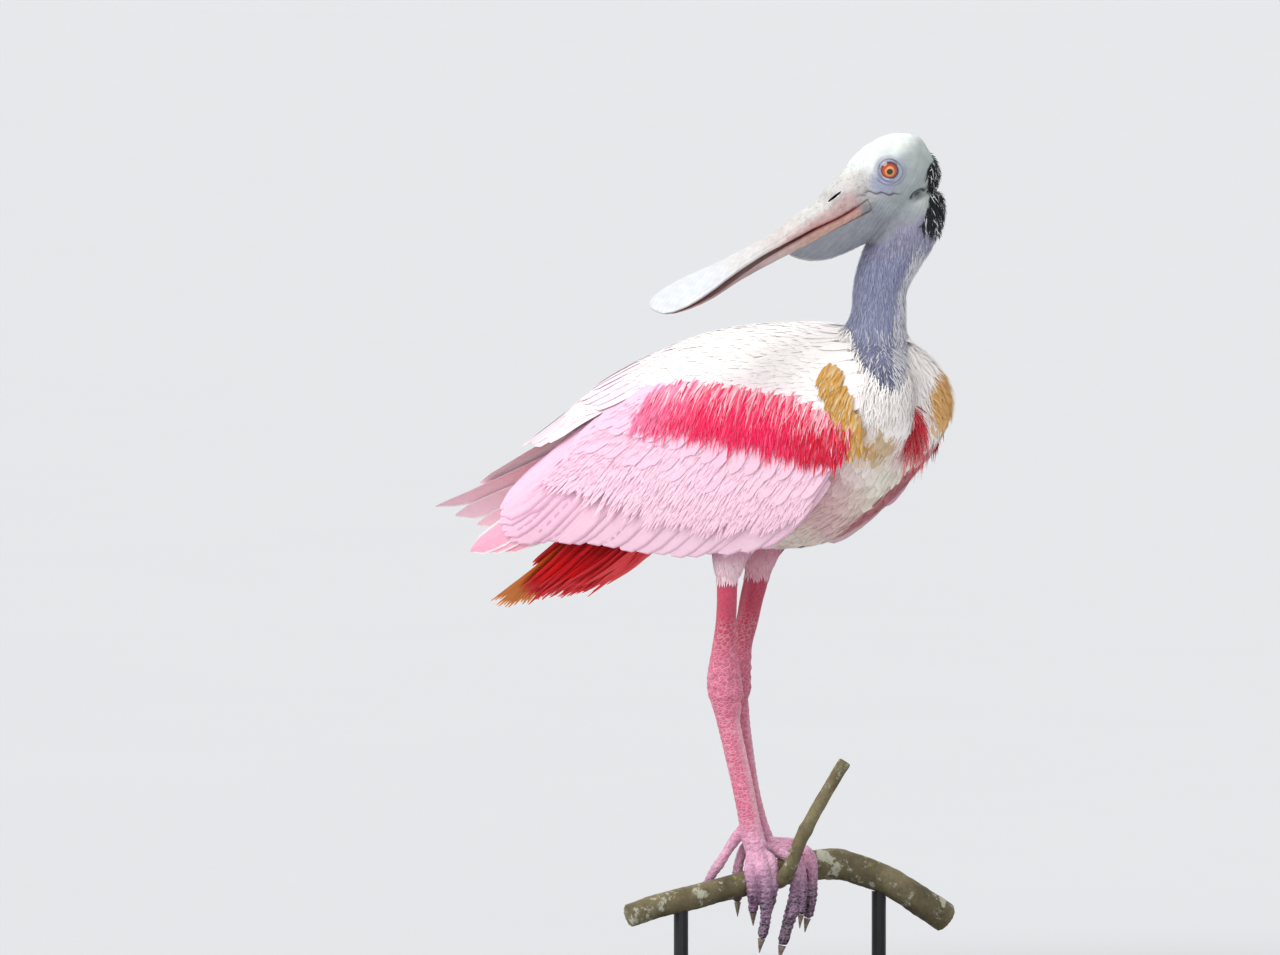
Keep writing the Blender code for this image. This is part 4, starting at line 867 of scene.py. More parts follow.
def bed_size(x, degrees):
    """The folded-wing surface's centre height, half height on this side of it, half width and angle."""
    centre, rise, drop, width = curve(WING_BED, x)
    angle = np.radians(degrees)
    return centre, np.where(angle >= 0, rise, drop), width, angle


def bed(side, x, degrees, lift=0.0):
    """Places on the folded-wing surface, raised by lift."""
    centre, height, width, angle = bed_size(x, degrees)
    flat = np.stack((x + 0 * angle, side * width * np.cos(angle), centre + height * np.sin(angle)), -1)
    outward = np.stack((0 * angle, side * np.cos(angle) / width, np.sin(angle) / height), -1)
    return flat + unit(outward) * np.asarray(lift)[..., None] + FEET


def bed_radius(x, degrees):
    _, height, width, angle = bed_size(x, degrees)
    return np.hypot(width * np.sin(angle), height * np.cos(angle))


def round_angles(count):
    return np.arange(count) * 2 * math.pi / count


def hoops(side, other, count):
    """Unit circles in the planes of two directions: ring, place, xyz."""
    angle = round_angles(count)[:, None]
    return np.cos(angle) * side[:, None] + np.sin(angle) * other[:, None]


def rings_mesh(name, rings):
    """A closed mesh through rings of equal counts: rings are ring, place, xyz."""
    rows, count = rings.shape[:2]
    i, j = np.meshgrid(np.arange(rows - 1), np.arange(count), indexing="ij")
    a, b = i * count + j, i * count + (j + 1) % count
    quads = np.stack((a, b, b + count, a + count), -1).reshape(-1, 4)
    ends = np.stack((np.arange(count)[::-1], np.arange(count) + (rows - 1) * count))
    sizes = np.concatenate((np.full(len(quads), 4), np.full(2, count)))
    mesh = raw_mesh(name, rings.reshape(-1, 3), sizes, np.concatenate((quads.ravel(), ends.ravel())))
    body = bmesh.new()
    body.from_mesh(mesh)
    bmesh.ops.recalc_face_normals(body, faces=body.faces)
    settle(body, mesh).shade_smooth()
    return mesh


def tube_rings(rows, start, end, steps, sides, flat=1.0, grow=0.0):
    """Rings along a limb of x, y, z, radius."""
    shares = np.linspace(start, end, steps + 1)
    x, y, z, radius = path(rows, shares)
    middles = np.stack((x, y, z), -1)
    ahead = path(rows, np.minimum(shares + 0.005, 1.0))[:3].T
    behind = path(rows, np.maximum(shares - 0.005, 0.0))[:3].T
    along = unit(ahead - behind)
    angles = round_angles(sides)[:, None]
    rings = []
    side = np.array([0.0, 1.0, 0.0])
    for i in range(steps + 1):
        side = unit(side - along[i] * (side @ along[i]))
        other = np.cross(along[i], side)
        wide, deep = radius[i] * flat + grow, radius[i] + grow
        rings.append(middles[i] + wide * np.cos(angles) * side + deep * np.sin(angles) * other)
    return np.array(rings) + FEET


def head_matrix():
    turn, dip, roll = (math.radians(a) for a in (HEAD_TURN, HEAD_DIP, HEAD_ROLL))
    bill = Vector((math.cos(dip) * math.cos(turn), -math.cos(dip) * math.sin(turn), -math.sin(dip)))
    crown = (Vector((0, 0, 1)) - bill * bill.z).normalized()
    cheek = crown.cross(bill)
    tipped = crown * math.cos(roll) + cheek * math.sin(roll)
    left = tipped.cross(bill)
    turned = Matrix((bill, left, tipped)).transposed().to_4x4()
    origin = Vector(HEAD_CENTRE) + tipped * BILL_AXIS_RISE + Vector((0, 0, FEET_HEIGHT))
    return Matrix.Translation(origin) @ turned


HEAD = np.array(head_matrix())


def from_head(places):
    return places @ HEAD[:3, :3].T + HEAD[:3, 3]


def to_head(places):
    return (places - HEAD[:3, 3]) @ HEAD[:3, :3]


def branch_place(along_by, front_by, height):
    turn = math.radians(BRANCH_TURN)
    along = np.array([math.cos(turn), math.sin(turn), 0.0])
    front = np.array([math.sin(turn), -math.cos(turn), 0.0])
    made = np.multiply.outer(along_by, along) + np.multiply.outer(front_by, front)
    return made + np.multiply.outer(height, [0, 0, 1.0]) + FEET


def oval_rings(table, steps, count):
    first, last = table[0][0], table[-1][0]
    x = first + (last - first) * (1 - np.cos(np.linspace(0, math.pi / 2, steps + 1)))
    top, bottom, width = curve(table, x)
    angle = round_angles(count)
    middle, height = (top + bottom) / 2, (top - bottom) / 2
    y = width[:, None] * np.cos(angle)
    z = middle[:, None] + height[:, None] * np.sin(angle)
    return np.stack((np.repeat(x[:, None], count, 1), y, z), -1)


def half_rings(table, count, steps, flat_bottom, start, lip=0.0):
    """Rings of a mandible: one side flat or hollowed by lip, the other rounded."""
    x = start + (table[-1][0] - start) * np.sin(np.linspace(0, math.pi / 2, steps + 1))
    top, bottom, width = curve(table, x)
    angle = np.linspace(0, math.pi, count + 1)
    rise = (top - bottom)[:, None] * np.sin(angle) ** 0.8
    z = bottom[:, None] + rise if flat_bottom else top[:, None] - rise
    y = width[:, None] * np.cos(angle)
    back = np.linspace(-1, 1, count // 2 + 1)[1:-1]
    base = bottom if flat_bottom else top
    dent = lip * (1 - back**2) * (1 if flat_bottom else -1)
    flat_z = base[:, None] + dent * np.minimum(1.0, (top - bottom) / 0.006)[:, None]
    y = np.concatenate((y, width[:, None] * back), 1)
    z = np.concatenate((z, flat_z), 1)
    return np.stack((np.repeat(x[:, None], y.shape[1], 1), y, z), -1)


# Skin


def trunk_mesh(shrink):
    """The trunk, shrunk by the coat's depth, with the groove between the breast's two sides."""
    x = TRUNK[0][0] + (TRUNK[-1][0] - TRUNK[0][0]) * (0.5 - 0.5 * np.cos(np.linspace(0, math.pi, 61)))
    top, bottom, width = curve(TRUNK, x)
    angle = round_angles(64)
    middle, height = (top + bottom) / 2, np.maximum((top - bottom) / 2 - shrink, 0.0006)
    y = np.maximum(width - shrink, 0.0006)[:, None] * np.cos(angle)
    z = middle[:, None] + height[:, None] * np.sin(angle) + FEET_HEIGHT
    forward = np.maximum(0.0, (x - 0.06) / 0.0525)[:, None] ** 2
    groove = 0.009 * forward * np.exp(-((y / 0.013) ** 2))
    front = np.minimum(x, TRUNK[-1][0] - shrink)[:, None] - groove
    return rings_mesh("trunk", np.stack((front + 0 * y, y, z), -1))


def mantle_mesh(shrink):
    """The folded wings' fleshy part and the back between them."""
    x = np.linspace(-0.150, 0.092, 50)
    lower = np.clip(curve(ARM, x)[0], -30, 20) + 4
    lower = lower + 40 * smooth(-0.11, -0.15, x)
    share = np.linspace(0, 1, 49)
    degrees = lower[:, None] + (180 - 2 * lower)[:, None] * share
    outer = bed(1, np.repeat(x[:, None], 49, 1), degrees, -shrink)
    ends = np.minimum(smooth(0.093, 0.078, x), smooth(-0.151, -0.12, x))[:, None, None]
    centre = outer.mean(axis=1, keepdims=True)
    centre[:, :, 1] = 0
    return rings_mesh("mantle", centre + (outer - centre) * (0.25 + 0.75 * ends))


def tail_root_mesh():
    turn = Matrix.Rotation(math.radians(-12), 4, "Y")
    middle = Vector(TAIL_ROOT) + Vector((0.018, 0, -0.0075 + FEET_HEIGHT))
    return ball_mesh(Matrix.Translation(middle) @ turn, [r - 0.001 for r in TAIL_ROOT_SIZE])


def toe_mesh(rows):
    shares = np.linspace(0, 1, 25)
    along_by, front_by, height, radius = path(rows, shares)
    middles = branch_place(along_by, front_by, height)
    heading = unit(np.gradient(middles, axis=0))
    joints = 1 + 0.07 * np.cos(shares * 2 * math.pi * (len(rows) // 2))
    taper = np.ones_like(shares)
    taper[-1] = 0.62
    side = unit(np.cross(heading, [0.3, 0.2, 1.0]))
    size = (radius * joints * taper)[:, None, None]
    return rings_mesh("toe", middles[:, None] + hoops(side, np.cross(heading, side), 16) * size)


def mouth_crease(x, z):
    """The fold that runs back from the corner of the mouth."""
    return peak(z, np.interp(x, (0.0078, 0.0233), (-0.0021, 0.0073)) + 0.0007 * np.sin(x * 900), 0.0007)


def head_relief(places):
    """How far the head's bare skin stands out or in, in metres, at places in the head's frame."""
    x, y, z = places.T
    made = np.zeros(len(places))
    away = np.abs(y)
    eye = np.array(EYE_PLACE)
    outward = unit(np.array(EYE_OUTWARD))
    for side in (-1, 1):
        axis = outward * np.array([1, side, 1])
        offset = places - eye * np.array([1, side, 1])
        depth = offset @ axis
        flat = offset - depth[:, None] * axis
        up = unit(np.array([0, 0, 1.0]) - axis * axis[2])
        ahead = np.cross(up, axis) * side
        u, v = flat @ ahead, flat @ up
        r = np.hypot(u, v / 0.92)
        near = (y * side > 0.004) & (depth > 0)
        lid = 0.0007 * peak(r, 0.0055, 0.0007)
        groove = -0.0006 * peak(r, 0.0070, 0.0005)
        fold = 0.0004 * peak(r, 0.0082, 0.0008) * (v < 0.002)
        sag = -0.0005 * peak(r, 0.0094, 0.0005) * smooth(0.0, -0.004, v)
        brow = 0.0008 * peak(r, 0.0098, 0.0016) * smooth(0.0, 0.006, v)
        made = made + np.where(near, lid + groove + fold + sag + brow, 0.0)
    made = made - 0.0008 * (mouth_crease(x, z) * smooth(0.004, 0.010, x) * (away > 0.006))
    ear = np.hypot((x - EAR_PLACE[0]) / 0.0050, (z - EAR_PLACE[2]) / 0.0024)
    made = made - 0.0022 * peak(ear, 0, 1) * (away > 0.008)
    flap = np.hypot((x - EAR_PLACE[0] - 0.001) / 0.0058, (z - EAR_PLACE[2] + 0.0042) / 0.0020)
    made = made + 0.0008 * peak(flap, 0, 1) * (away > 0.008)
    wrinkle = np.sin((z * 0.8 + x * 0.6) * 2600 + 2.0 * ripple(places, 0.012, 3))
    made = made + 0.00010 * wrinkle * smooth(0.012, -0.004, z)
    lores = smooth(0.012, 0.020, x) * smooth(0.0, 0.006, z)
    made = made + 0.00016 * ripple(places, 0.0022, 5) * lores
    return made + 0.00012 * ripple(places, 0.006, 7)


# The crown is paler than the temple and cheek: partly the skin's own colour, partly painted light from above
CROWN = srgb(224, 230, 225)
TEMPLE = srgb(168, 177, 173)
CHEEK = srgb(158, 165, 168)
PERIWINKLE = srgb(160, 164, 190)
LORES = srgb(196, 190, 186)
LID = srgb(188, 192, 212)
# Painted shade in the folds round the eye and at the lids' inner edge
LID_FOLD_SHADE = srgb(78, 76, 88)
# Painted shade in the fold back from the mouth's corner
CREASE_SHADE = srgb(84, 74, 82)
# Painted shade in the ear's opening and the crescent round its edge
EAR_HOLE_SHADE = srgb(34, 34, 42)
EAR_FLAP = srgb(196, 202, 194)
NAPE_BLACK = srgb(26, 26, 34)
NECK_SLATE = srgb(138, 142, 172)
NECK_MAUVE = srgb(150, 144, 168)
NECK_DARK = srgb(84, 86, 112)
POUCH_GREY = srgb(142, 145, 153)
GAPE_PINK = srgb(196, 120, 104)
# The black band from the crown's back round to the throat, in the head's frame: x and z
NAPE_BAND = ((-0.0187, 0.0005), (-0.0187, -0.0035), (-0.0184, -0.0141), (-0.0102, -0.0223), (0.0021, -0.0276))
NAPE_HALF_WIDTHS = (0.0028, 0.0042, 0.0054, 0.0042, 0.0014)
BODY_WHITE = srgb(248, 243, 240)
BODY_CREAM = srgb(238, 230, 212)
BODY_GOLD = srgb(222, 166, 76)
BILL_PINK = srgb(196, 168, 166)
BILL_PALE = srgb(206, 204, 202)
BILL_TIP = srgb(208, 211, 216)
# Painted shade in the groove round the nostril
NOSTRIL_SHADE = srgb(146, 140, 142)
WING_PALE = srgb(250, 208, 226)
WING_LILAC = srgb(246, 196, 218)
# Painted shade: a dark line at the near wing's feather edges, for the shadow in the gaps between them
WING_GAP_SHADE = srgb(150, 84, 128)
# Painted light: the far wing's flights take a whiter copy of the wing pink, lifted against the shadow that
# they lie in
FAR_WHITE_PAINTED_LIGHT = srgb(254, 228, 238)
PRIMARY_ROSE = srgb(250, 178, 202)
# Painted light: the far wing's primaries take a paler copy of the primaries' rose, lifted against their
# shadow
FAR_ROSE_PAINTED_LIGHT = srgb(255, 208, 224)
# Painted shade: the far leg and foot are darkened because they lie in shadow
FAR_LEG_SHADE = np.array([0.84, 0.70, 0.76])


def nape_share(places):
    """How far a place lies in the black band round the back of the head."""
    x, y, z = places.T
    flat = np.stack((np.maximum(x, NAPE_BAND[0][0]), z), -1)
    share = np.zeros(len(places))
    wave = 0.0007 * ripple(places, 0.005, 21)
    widths = zip(NAPE_HALF_WIDTHS[:-1], NAPE_HALF_WIDTHS[1:])
    for start, end, (first, last) in zip(NAPE_BAND[:-1], NAPE_BAND[1:], widths):
        run = np.subtract(end, start)
        along = np.clip((flat - start) @ run / (run @ run), 0, 1)
        gap = np.linalg.norm(flat - start - along[:, None] * run, axis=1) + wave
        share = np.maximum(share, smooth(1.15, 0.75, gap / (first + (last - first) * along)))
    height = low(from_head(places))[:, 2]
    back = np.interp(height, (0.3985, 0.415, 0.428), (0.0905, 0.0925, 0.0945)) + 2 * wave
    behind = smooth(-0.0010, 0.0010, across(from_head(places)) - back)
    behind = behind * smooth(0.396, 0.401, height) * smooth(0.434, 0.430, height)
    return np.maximum(share, behind)


def head_tint(places):
    x, y, z = places.T
    side, past = np.abs(y) > 0.006, z - EAR_PLACE[2]
    eye = np.hypot(x - EYE_PLACE[0], z - EYE_PLACE[2])
    below = np.hypot(x - 0.0134, z - 0.0082)
    ear = np.hypot((x - EAR_PLACE[0]) / 0.0046, past / 0.0028)
    loop = peak(ear, 1, 0.34) * smooth(-0.0012, 0.0006, past + 0.0006)
    hole = np.maximum(loop, peak(ear * 1.3, 0, 1)) * (np.abs(y) > 0.008)
    flap = np.hypot((x - EAR_PLACE[0] - 0.001) / 0.0060, (past + 0.0046) / 0.0026)
    throat = smooth(-0.012, -0.018, z) * smooth(-0.004, 0.012, x)
    throat = np.maximum(throat, smooth(0.016, 0.026, x) * (z < 0.0))
    folds = np.sin((z * 0.94 + x * 0.34) * 1700 + 1.6 * ripple(places, 0.014, 9))
    rim = smooth(0.0028, 0.0008, z - curve(POUCH, x)[1])
    rim = rim * smooth(0.036, 0.042, x) * (np.abs(y) < 0.010)
    tint = paint(
        CHEEK,
        # Paler crown: partly the skin's own colour, partly painted light from above
        (CROWN, smooth(0.012, 0.022, z + 0.10 * x)),
        (TEMPLE, 0.8 * smooth(0.002, -0.012, x) * smooth(0.024, 0.012, z)),
        (LORES, 0.8 * smooth(0.013, 0.022, x) * smooth(-0.004, 0.006, z) * smooth(0.024, 0.018, z)),
        (PERIWINKLE, 0.80 * np.exp(-((below / 0.0080) ** 4))),
        (PERIWINKLE, 0.60 * np.exp(-((eye / 0.0105) ** 4))),
        (LID, 0.8 * peak(eye, 0.0055, 0.0010) * side),
        # Painted shade in the folds round the eye and at the lids' inner edge
        (LID_FOLD_SHADE, 0.50 * peak(eye, 0.0070, 0.0004) * side),
        (LID_FOLD_SHADE, 0.30 * peak(eye, 0.0094, 0.0005) * side * (z < EYE_PLACE[2])),
        (LID_FOLD_SHADE, 0.9 * smooth(0.0050, 0.0046, eye) * side),
        # Painted shade in the fold back from the mouth's corner
        (CREASE_SHADE, 0.85 * mouth_crease(x, z) * smooth(0.002, 0.009, x)),
        # Painted shade in the ear's opening and the crescent round its edge
        (EAR_HOLE_SHADE, 0.95 * hole),
        (EAR_FLAP, 0.6 * peak(flap, 0, 1)),
        (POUCH_GREY, throat),
        # Stripes of painted shade along the throat's folds
        (srgb(104, 104, 116), 0.20 * smooth(0.3, 1.0, folds) * throat),
        (srgb(200, 198, 198), 0.7 * rim),
    )
    return mottled(tint, places, 0.05, 0.008, 13)


def head_wear(places):
    """How speckled the head is: the forehead and lores most."""
    x, y, z = places.T
    brow = smooth(0.012, 0.022, x) * smooth(0.004, 0.012, z)
    return np.clip(0.12 + 0.9 * brow + 0.4 * smooth(0.0, -0.010, z) * smooth(0.0, 0.015, x), 0, 1)


def jaw_line(head):
    """Where the bare head ends below, as a height in the head's frame."""
    behind = -0.0222 + 0.0014 * ripple(head, 0.012, 61)
    pouch = curve(POUCH, head[:, 0])[1] - 0.0012
    return np.where(head[:, 0] > 0.018, pouch, behind)


def plume_top(places):
    """How high the breast's plumes reach up the neck: lowest in front, a little to its right."""
    x, y, z = low(places).T
    facing = smooth(-0.004, 0.004, 0.574 * (x - 0.070) - 0.819 * y) * smooth(0.060, 0.072, x)
    stations = (0.042, 0.050, 0.060, 0.0725, 0.0765, 0.0800)
    return 0.335 - np.interp(across(places), stations, (0, 0.019, 0.031, 0.037, 0.030, 0)) * facing


def neck_tint(places):
    x, y, z = low(places).T
    tint = paint(
        NECK_DARK,
        (NECK_SLATE, smooth(0.300, 0.335, z)),
        (NECK_MAUVE, smooth(0.370, 0.405, z)),
        # Darker mauve high on the neck's throat side: painted shade under the jaw
        (srgb(98, 84, 112), 0.7 * smooth(0.374, 0.396, z) * smooth(0.092, 0.078, x)),
    )
    return mottled(tint, places, 0.08, 0.010, 17)


def gold_share(places):
    """The golden strip behind the near side's white plumes, and the round golden patch of the far side."""
    x, y, z = low(places).T
    middle = np.interp(z, (0.262, 0.275, 0.290, 0.306, 0.316), (0.0520, 0.0475, 0.0405, 0.0340, 0.0300))
    strip = smooth(0.0078, 0.0040, np.abs(across(places) - middle) + 0.0016 * ripple(places, 0.008, 31))
    strip = strip * smooth(0.257, 0.264, z) * smooth(0.320, 0.312, z) * (y < 0)
    patch = np.minimum(np.abs(across(places) - 0.108) / 0.0165, np.abs(y - 0.040) / 0.018)
    patch = np.hypot(patch, (z - 0.291) / 0.022) + 0.06 * ripple(places, 0.010, 33)
    return np.maximum(strip, smooth(1.08, 0.86, patch) * (y > -0.01)) * smooth(0.056, 0.068, x)


def body_tint(places):
    """The feather colour of the trunk at world places."""
    x, y, z = low(places).T
    right, near = across(places), y < 0
    olive = np.hypot((right - 0.061) / 0.0095, (z - 0.267) / 0.013) + 0.14 * ripple(places, 0.008, 35)
    mauve = smooth(0.064, 0.030, right) * smooth(0.266, 0.246, z) * smooth(0.020, 0.050, x) * near
    rim = smooth(-0.002, 0.002, right - 0.0500 - 1.071 * (z - 0.2213)) * smooth(-0.030, -0.020, y)
    rose = np.maximum(rim, smooth(0.012, 0.020, y)) * smooth(0.268, 0.260, z) * smooth(0.02, 0.05, x)
    return paint(
        BODY_WHITE,
        (BODY_CREAM, smooth(0.275, 0.225, z)),
        (srgb(236, 198, 208), 0.8 * smooth(0.040, -0.020, x) * smooth(0.262, 0.225, z)),
        (srgb(246, 222, 228), 0.35 * smooth(0.06, -0.12, x)),
        (BODY_GOLD, 0.88 * gold_share(places)),
        (srgb(192, 150, 72), 0.7 * smooth(1.25, 0.50, olive) * near * smooth(0.070, 0.085, x)),
        (srgb(222, 176, 182), 0.8 * mauve),
        (srgb(178, 84, 98), 0.92 * rose),
        (srgb(190, 30, 46), smooth(-0.062, -0.090, x) * smooth(0.232, 0.212, z)),
    )


def toe_creases(places):
    z = low(places)[:, 2]
    return peak(ripple(places, 0.006, 43), 0, 0.10) * smooth(0.020, 0.010, z) * smooth(-0.012, 0.0, z)


def leg_side(places, near):
    """How far round to the picture's right side of its leg a place lies, from -1 to 1."""
    z = low(places)[:, 2]
    yaw = math.radians(CAMERA_YAW)
    sides = []
    for rows in (RIGHT_LEG, LEFT_LEG):
        leg = np.array(rows)[::-1]
        x, y, radius = (np.interp(z, leg[:, 2], leg[:, axis]) for axis in (0, 1, 3))
        sides.append((across(places) - x * math.cos(yaw) - y * math.sin(yaw)) / radius)
    return np.where(near, *sides)


def leg_tint(places, near):
    z = low(places)[:, 2]
    shin = smooth(0.3, 0.9, leg_side(places, near)) * smooth(0.105, 0.080, z)
    dark = smooth(0.0, 0.8, ripple(places, 0.007, 41) + smooth(-0.020, -0.050, z)) * smooth(-0.006, -0.030, z)
    tint = paint(
        srgb(204, 98, 128),
        (srgb(186, 56, 86), smooth(0.118, 0.150, z)),
        (srgb(236, 190, 206), 0.65 * shin),
        (srgb(206, 158, 190), 0.75 * smooth(0.034, 0.008, z)),
        # The far foot's darker colour is painted shade
        (srgb(122, 84, 118) if near else srgb(98, 70, 98), 0.95 * smooth(0.004, -0.022, z)),
        (srgb(54, 34, 58), 0.85 * dark),
        (srgb(168, 32, 62), 0.7 * toe_creases(places)),
    )
    # The far leg is darkened all over: painted shade
    return tint if near else tint * FAR_LEG_SHADE


def leg_relief(places):
    """Folds of the toes, plates of the shank's front and knobs of the hock."""
    x, y, z = low(places).T
    plates = np.sin(z * 2 * math.pi / 0.0042 + 0.8 * ripple(places, 0.012, 51))
    made = 0.00010 * plates * smooth(0.100, 0.085, z)
    made = made + 0.00050 * ripple(places, 0.006, 53) * peak(z, 0.112, 0.014)
    knob = peak(z, 0.1055, 0.0032) - 0.7 * peak(z, 0.0998, 0.0016)
    made = made + 0.00080 * knob * smooth(-0.2, 0.5, leg_side(places, y < -0.001))
    folds = np.sin(z * 2 * math.pi / 0.0034 + 1.2 * ripple(places, 0.010, 57))
    made = made + 0.00022 * folds * smooth(0.002, -0.008, z)
    return made - 0.00030 * toe_creases(places)


def eye_cutters():
    """Thick pegs, one for each eye, that open the lids, and the balls of the sockets."""
    pegs, balls = [], []
    narrow, wide, depth = LID_OPENING
    for _, side in SIDES:
        centre = Matrix.Translation(from_head(np.array(EYE_PLACE) * np.array([1, side, 1])))
        axis = HEAD[:3, :3] @ unit(np.array(EYE_OUTWARD) * np.array([1, side, 1]))
        turn = Vector(axis).to_track_quat("Z", "Y").to_matrix().to_4x4()
        place = centre @ turn @ Matrix.Diagonal((1.0, 0.90, 1.0, 1.0)) @ Matrix.Translation((0, 0, 0.0060))
        peg = shaped("opening", bmesh.ops.create_cone, place, cap_ends=True, segments=48,
                     radius1=narrow, radius2=wide, depth=depth)
        pegs.append(link("opening", peg))
        balls.append(link("socket", ball_mesh(centre, (EYE_RADIUS + 0.00015,) * 3)))
    return pegs + balls


def make_head_skin():
    """The head, the pouch and the neck as one bare skin."""
    skull = rings_mesh("skull", from_head(oval_rings(SKULL, 40, 64)))
    pouch = rings_mesh("pouch", from_head(half_rings(POUCH, 40, 60, False, 0.0200)))
    neck = rings_mesh("neck", tube_rings(NECK, 0.0, 1.0, 90, 56, 1.0, -0.0008))
    obj = voxel_join("head_skin", [skull, pouch, neck], HEAD_GRAIN, 5, bare_skin_look())

    def fine(middles):
        local = to_head(middles)
        return (local[:, 0] > -0.014) & (local[:, 0] < 0.030) & (local[:, 2] > -0.016)

    def finest(middles):
        local = to_head(middles)
        away = np.hypot(local[:, 0] - EYE_PLACE[0], local[:, 2] - EYE_PLACE[2])
        return (away < 0.0105) & (np.abs(local[:, 1]) > 0.006)

    refine(obj, fine)
    refine(obj, finest)
    displace(obj, lambda places: head_relief(to_head(places)) * (to_head(places)[:, 0] > -0.03))
    combine(obj, eye_cutters(), operation="DIFFERENCE")
    return obj


def make_body_skin():
    pieces = [trunk_mesh(COAT_DEPTH), mantle_mesh(COAT_DEPTH + 0.0022), tail_root_mesh()]
    for _, _, thigh in LEGS:
        pieces.append(rings_mesh("thigh", tube_rings(thigh, 0.0, 0.985, 40, 40, THIGH_FLATNESS, -0.0024)))
    return voxel_join("skin", pieces, BODY_GRAIN, 6, wisp_look("under_feathers"))


def make_leg_skin(leg, toes, thigh, finish):
    hidden = [(*row[:3], leg[0][3]) for row in thigh[2:4]] + [leg[0], leg[1]]
    pieces = [
        rings_mesh("leg", tube_rings(leg, 0.004, 1.0, 120, 32, LEG_FLATNESS)),
        rings_mesh("shank_top", tube_rings(hidden, 0.0, 1.0, 24, 32, LEG_FLATNESS)),
        ball_mesh(Matrix.Translation(Vector(leg[-1][:3]) + Vector((0, 0, FEET_HEIGHT))), PAD_SIZE),
    ]
    obj = voxel_join("leg_skin", pieces + [toe_mesh(rows) for rows in toes.values()], LEG_GRAIN, 3, finish)
    displace(obj, leg_relief)
    return obj


def paint_skin(mesh):
    places, _ = places_and_normals(mesh)
    head = to_head(places)
    x, y, z = low(places).T
    legs = np.where((y < -0.004)[:, None], leg_tint(places, True), leg_tint(places, False))
    tint = paint(
        body_tint(places),
        (neck_tint(places), smooth(-0.004, 0.002, z - plume_top(places)) * smooth(0.03, 0.05, x)),
        (head_tint(head), smooth(-0.0010, 0.0010, head[:, 2] - jaw_line(head)) * smooth(0.355, 0.360, z)),
        (NAPE_BLACK, 0.96 * nape_share(head) * smooth(0.380, 0.390, z)),
        (legs, smooth(0.1790, 0.1750, z)),
    )
    net = 0.15 + 0.85 * smooth(0.158, 0.145, z)
    set_tint(mesh, tint, np.where(z > 0.3, head_wear(head), net))


def make_skin():
    """Body, head, neck and legs fused into one closed surface and coloured."""
    skin, scales = make_body_skin(), scale_look()
    others = [make_head_skin()] + [make_leg_skin(*leg, scales) for leg in LEGS]
    combine(skin, others, operation="UNION", material_mode="TRANSFER")
    paint_skin(skin.data)
    flesh = ["torso", "neck_lower", "neck_upper", "head", "throat_pouch"]
    for word, _ in SIDES:
        flesh += [f"thigh_{word}", f"shank_{word}", f"tarsus_{word}", f"foot_{word}"]
    dress(skin, "head_skin", *flesh)
    print("skin", len(skin.data.polygons), "faces")
    return skin


# Bill and eyes


def bill_tint(places, normals, upper):
    x, y, z = places.T
    top, bottom, width = curve(UPPER_BILL if upper else LOWER_BILL, x)
    if upper:
        gape = z - bottom
        ridge = smooth(0.45, 0.80, gape / (top - bottom)) * smooth(0.10, 0.06, x)
        own = (
            (srgb(204, 206, 202), 0.85 * ridge),
            (GAPE_PINK, 0.8 * smooth(0.0024, 0.0004, gape) * smooth(0.100, 0.060, x)),
        )
    else:
        gape = top - z
        own = (
            (srgb(176, 146, 146), 0.9 * smooth(0.08, 0.11, x)),
            (srgb(204, 158, 142), 0.8 * smooth(0.11, 0.05, x)),
            (srgb(150, 62, 54), 0.9 * smooth(0.0018, 0.0004, gape) * smooth(0.12, 0.07, x)),
        )
    deep = blend(srgb(140, 54, 48), srgb(190, 152, 150), smooth(0.05, 0.11, x))
    inside = smooth(0.3, 0.7, normals[:, 2] * (-1 if upper else 1)) * smooth(0.0030, 0.0024, gape)
    nostril = np.hypot((x - NOSTRIL_PLACE[0]) / 0.0060, (z - NOSTRIL_PLACE[2]) / 0.0030)
    blotch = smooth(0.1, 0.9, ripple(places, 0.010, 71)) * smooth(0.13, 0.04, x)
    tint = paint(
        BILL_PINK,
        (BILL_PALE, smooth(0.055, 0.110, x)),
        (BILL_TIP, smooth(0.110, 0.140, x)),
        (srgb(180, 140, 134), 0.40 * blotch),
        *own,
        (deep, inside),
        (srgb(150, 120, 120), 0.6 * smooth(0.955, 0.985, np.abs(y) / width) * smooth(0.10, 0.13, x)),
        # Painted shade round the nostril's slit
        (NOSTRIL_SHADE, 0.5 * peak(nostril, 0, 1)),
        (head_tint(places), smooth(0.0360, 0.0262, x) * (1.0 if upper else 0.9)),
    )
    return mottled(tint, places, 0.06, 0.005, 73)


def bill_relief(places):
    x, y, _ = places.T
    table = np.array(UPPER_BILL)
    edge = np.abs(y) / np.interp(x, table[:, 0], table[:, 3])
    made = -0.00045 * (peak(edge, 0.84, 0.05) * smooth(0.05, 0.08, x))
    base = smooth(0.075, 0.035, x)
    made = made + 0.00022 * base * ripple(places, 0.0032, 75) + 0.00020 * base * ripple(places, 0.0075, 77)
    ribs = np.sin(x * 2 * math.pi / 0.0046) * smooth(0.085, 0.060, x)
    return made + 0.00007 * ribs + 0.00008 * ripple(places, 0.006, 79)


